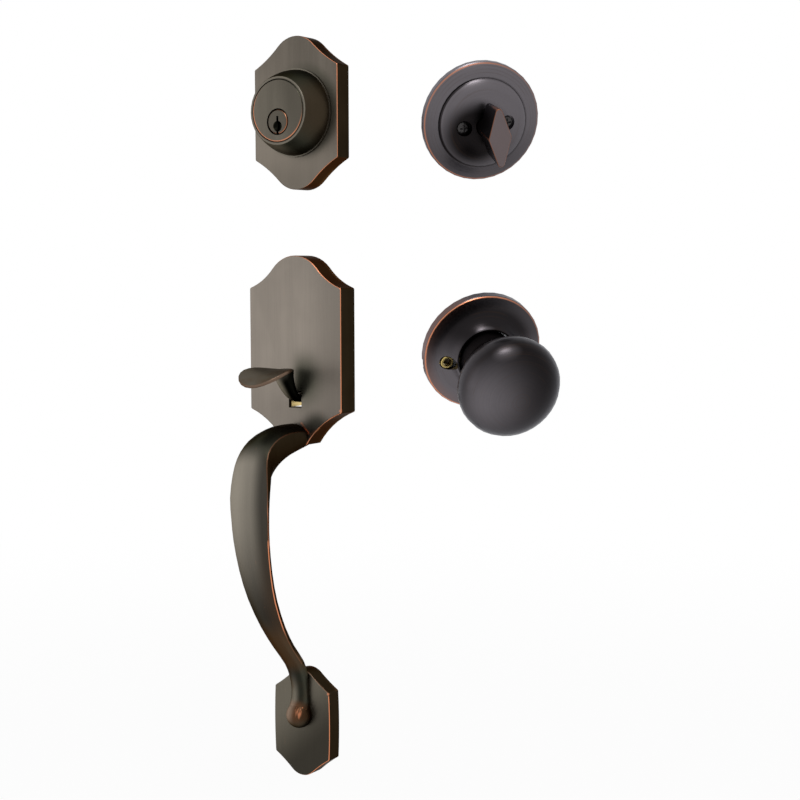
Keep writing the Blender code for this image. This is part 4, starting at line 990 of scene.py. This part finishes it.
class HANDLESET_OT_deadbolt(Operator):
    """Dress the outside deadbolt: plate, collar, lock face and plug"""
    bl_idname = "handleset.deadbolt"
    bl_label = "Outside Deadbolt"

    def execute(self, context):
        colours, edges = settings_of(context)
        low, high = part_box("deadbolt_plate")
        centre = Vector((0, 0, (low[2] + high[2]) / 2))
        plate = worn_copy("deadbolt_plate", "root",
                          fronts=(DEADBOLT_FRONT,), forward_of=NOWHERE)
        paint(plate, deadbolt_bronze(colours, centre))
        lock = lock_bronze(colours, edges, centre, Vector(JOINTS["plug_turn"]["pos_m"]))
        bodies = {"cylinder_collar": "root", "cylinder_housing": "root", "cylinder_plug": "plug"}
        for node, body in bodies.items():
            paint(worn_copy(node, body), lock)
        return {"FINISHED"}


class HANDLESET_OT_handle(Operator):
    """Dress the handle casting and its thumbpiece"""
    bl_idname = "handleset.handle"
    bl_label = "Handle"

    def execute(self, context):
        colours, edges = settings_of(context)
        casting = worn_copy("handle_casting", "root",
                            edges.line, CASTING_FRONTS, GRIP_CLEAR)
        paint(casting, casting_bronze(colours))
        paint(worn_copy("thumbpiece", "thumb"), paddle_bronze(colours))
        return {"FINISHED"}


class HANDLESET_OT_thumbturn(Operator):
    """Dress the inside thumbturn and its rose"""
    bl_idname = "handleset.thumbturn"
    bl_label = "Inside Thumbturn"

    def execute(self, context):
        colours, edges = settings_of(context)
        unit = Turned(JOINTS["thumbturn_turn"])
        paint(worn_copy("turn_rose", "root"), turn_rose_bronze(colours, unit, edges))
        paint(worn_copy("thumb_turn", "turn"), turn_bronze(colours, unit))
        return {"FINISHED"}


class HANDLESET_OT_knob(Operator):
    """Dress the inside knob and its rose, and add a dark plug of painted shade in each screw sleeve"""
    bl_idname = "handleset.knob"
    bl_label = "Inside Knob"

    def execute(self, context):
        colours, edges = settings_of(context)
        unit = Turned(JOINTS["knob_turn"])
        paint(worn_copy("knob_rose", "root"), knob_rose_bronze(colours, unit, edges))
        paint(worn_copy("knob", "knob"), knob_bronze(colours, unit))
        # dark plugs of painted shade that close the sleeves' bores
        dark = plain_metal("sleeve_shade_plug_metal", (0.035, 0.028, 0.020), 0.45)
        for side in ("left", "right"):
            low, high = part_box(f"knob_sleeve_{side}")
            centre = (Vector(low) + Vector(high)) / 2
            sleeve_shade_plug = turned_piece(
                f"sleeve_shade_plug_{side}", SLEEVE_SHADE_PLUG, centre, unit.axis, "root")
            paint(sleeve_shade_plug, dark)
        return {"FINISHED"}


class HANDLESET_OT_works(Operator):
    """Give the plates, posts, screws, springs and sleeves their plated finishes"""
    bl_idname = "handleset.works"
    bl_label = "Works"

    def execute(self, context):
        metals = {slot_name: plain_metal(*look) for slot_name, look in METALS.items()}
        for row in frame["record"]["subparts"]:
            if row["material_slot"] in metals:
                paint_node(row["node"], metals[row["material_slot"]])
        return {"FINISHED"}


def add_lamp(name, place, aim, size, radiance):
    """A soft box; its power follows from how bright its face looks."""
    data = bpy.data.lights.new(name, "AREA")
    data.shape = "RECTANGLE"
    data.size, data.size_y = size
    data.energy = radiance * pi * size[0] * size[1]
    lamp = bpy.data.objects.new(name, data)
    lamp.location = place
    lamp.rotation_euler = (Vector(aim) - Vector(place)).to_track_quat("-Z", "Y").to_euler()
    bpy.context.scene.collection.objects.link(lamp)


def add_camera(studio):
    """The camera, with its back and right directions worked out from its angles."""
    azimuth, pitch = studio.azimuth, studio.pitch
    back = Vector((sin(azimuth) * cos(pitch), -cos(azimuth) * cos(pitch), sin(pitch)))
    right = Vector((cos(azimuth), sin(azimuth), 0))
    up = back.cross(right)
    data = bpy.data.cameras.new("camera")
    data.lens = studio.lens
    data.sensor_width = SENSOR_WIDTH
    data.clip_end = CAMERA_REACH
    camera = bpy.data.objects.new("camera", data)
    turn = Matrix((right, up, back)).transposed().to_4x4()
    place = Vector(studio.aim) + back * studio.distance
    camera.matrix_world = Matrix.Translation(place) @ turn @ Matrix.Rotation(studio.roll, 4, "Z")
    bpy.context.scene.collection.objects.link(camera)
    bpy.context.scene.camera = camera


def seen_rays(tree):
    """1 for the camera's rays, reflections and rays that pass through, and 0 for soft light."""
    path = tree.nodes.new("ShaderNodeLightPath")
    rays = Wire(tree, path.outputs["Is Camera Ray"])
    for kind in ("Is Glossy Ray", "Is Transmission Ray"):
        rays = rays.most(Wire(tree, path.outputs[kind]))
    return rays


def add_floor(height):
    """A wide pale floor that shows white and keeps the soft shadow."""
    work = bmesh.new()
    bmesh.ops.create_grid(work, x_segments=8, y_segments=8, size=FLOOR_SIZE)
    floor = add_object("studio_floor", work)
    floor.location.z = height
    finish = Finish("pale_floor")
    finish.set(Base_Color=FLOOR_TONE, Roughness=0.9)
    white = finish.node("ShaderNodeEmission", inputs={"Color": WHITE, "Strength": 1.0})
    plain = Wire(finish.tree, finish.shader.outputs[0])
    share = 0.93 + finish.smooth(finish.length(finish.place), 0.3, 1.4) * 0.07
    inputs = {0: seen_rays(finish.tree) * share, 1: plain, 2: white}
    mixed = finish.node("ShaderNodeMixShader", inputs=inputs)
    finish.tree.links.new(mixed.socket, finish.output.inputs[0])
    paint(floor, finish)


def light_world():
    """A surround that shows white and lights the handleset a little less."""
    world = bpy.data.worlds.new("studio_world")
    bpy.context.scene.world = world
    world.use_nodes = True
    tree = world.node_tree
    tree.nodes.clear()
    output = tree.nodes.new("ShaderNodeOutputWorld")
    dim = tree.nodes.new("ShaderNodeBackground")
    dim.inputs["Strength"].default_value = WORLD_LIGHT
    white = tree.nodes.new("ShaderNodeBackground")
    white.inputs["Color"].default_value = WHITE
    mix = tree.nodes.new("ShaderNodeMixShader")
    plug(tree, mix.inputs[0], seen_rays(tree))
    tree.links.new(dim.outputs[0], mix.inputs[1])
    tree.links.new(white.outputs[0], mix.inputs[2])
    tree.links.new(mix.outputs[0], output.inputs[0])


class HANDLESET_OT_studio(Operator):
    """Set the camera, the soft lamps, the white surround and the pale floor"""
    bl_idname = "handleset.studio"
    bl_label = "Studio"

    def execute(self, context):
        studio = context.scene.handleset_studio
        low, high = CAD_BOX
        middle = (low + high) / 2
        add_camera(studio)
        add_floor(low.z - studio.floor)
        for name, (offset, size, radiance) in LAMPS.items():
            add_lamp(name, middle + Vector(offset), middle, size, radiance)
        light_world()
        context.scene.view_settings.view_transform = "Standard"
        return {"FINISHED"}


class HANDLESET_PT_build(Panel):
    """The handleset's pieces, sizes and colours"""
    bl_idname = "HANDLESET_PT_build"
    bl_label = "Handleset"
    bl_space_type = "VIEW_3D"
    bl_region_type = "UI"
    bl_category = "Handleset"

    def draw(self, context):
        for group in (context.scene.handleset_colours, context.scene.handleset_edges,
                      context.scene.handleset_studio):
            box = self.layout.box()
            for name in group.bl_rna.properties.keys():
                if name not in ("rna_type", "name"):
                    box.prop(group, name)
        for operator in OPERATORS:
            self.layout.operator(operator.bl_idname)


GROUPS = {
    "handleset_colours": BronzeColours,
    "handleset_edges": EdgeSizes,
    "handleset_studio": StudioSizes,
}
OPERATORS = (
    HANDLESET_OT_deadbolt,
    HANDLESET_OT_handle,
    HANDLESET_OT_thumbturn,
    HANDLESET_OT_knob,
    HANDLESET_OT_works,
    HANDLESET_OT_studio,
)


def register():
    for name, group in GROUPS.items():
        bpy.utils.register_class(group)
        setattr(bpy.types.Scene, name, PointerProperty(type=group))
    for operator in OPERATORS:
        bpy.utils.register_class(operator)
    bpy.utils.register_class(HANDLESET_PT_build)


def unregister():
    bpy.utils.unregister_class(HANDLESET_PT_build)
    for operator in reversed(OPERATORS):
        bpy.utils.unregister_class(operator)
    for name, group in GROUPS.items():
        delattr(bpy.types.Scene, name)
        bpy.utils.unregister_class(group)


def main():
    register()
    for operator in OPERATORS:
        group, name = operator.bl_idname.split(".")
        getattr(getattr(bpy.ops, group), name)()


if __name__ == "__main__":
    main()
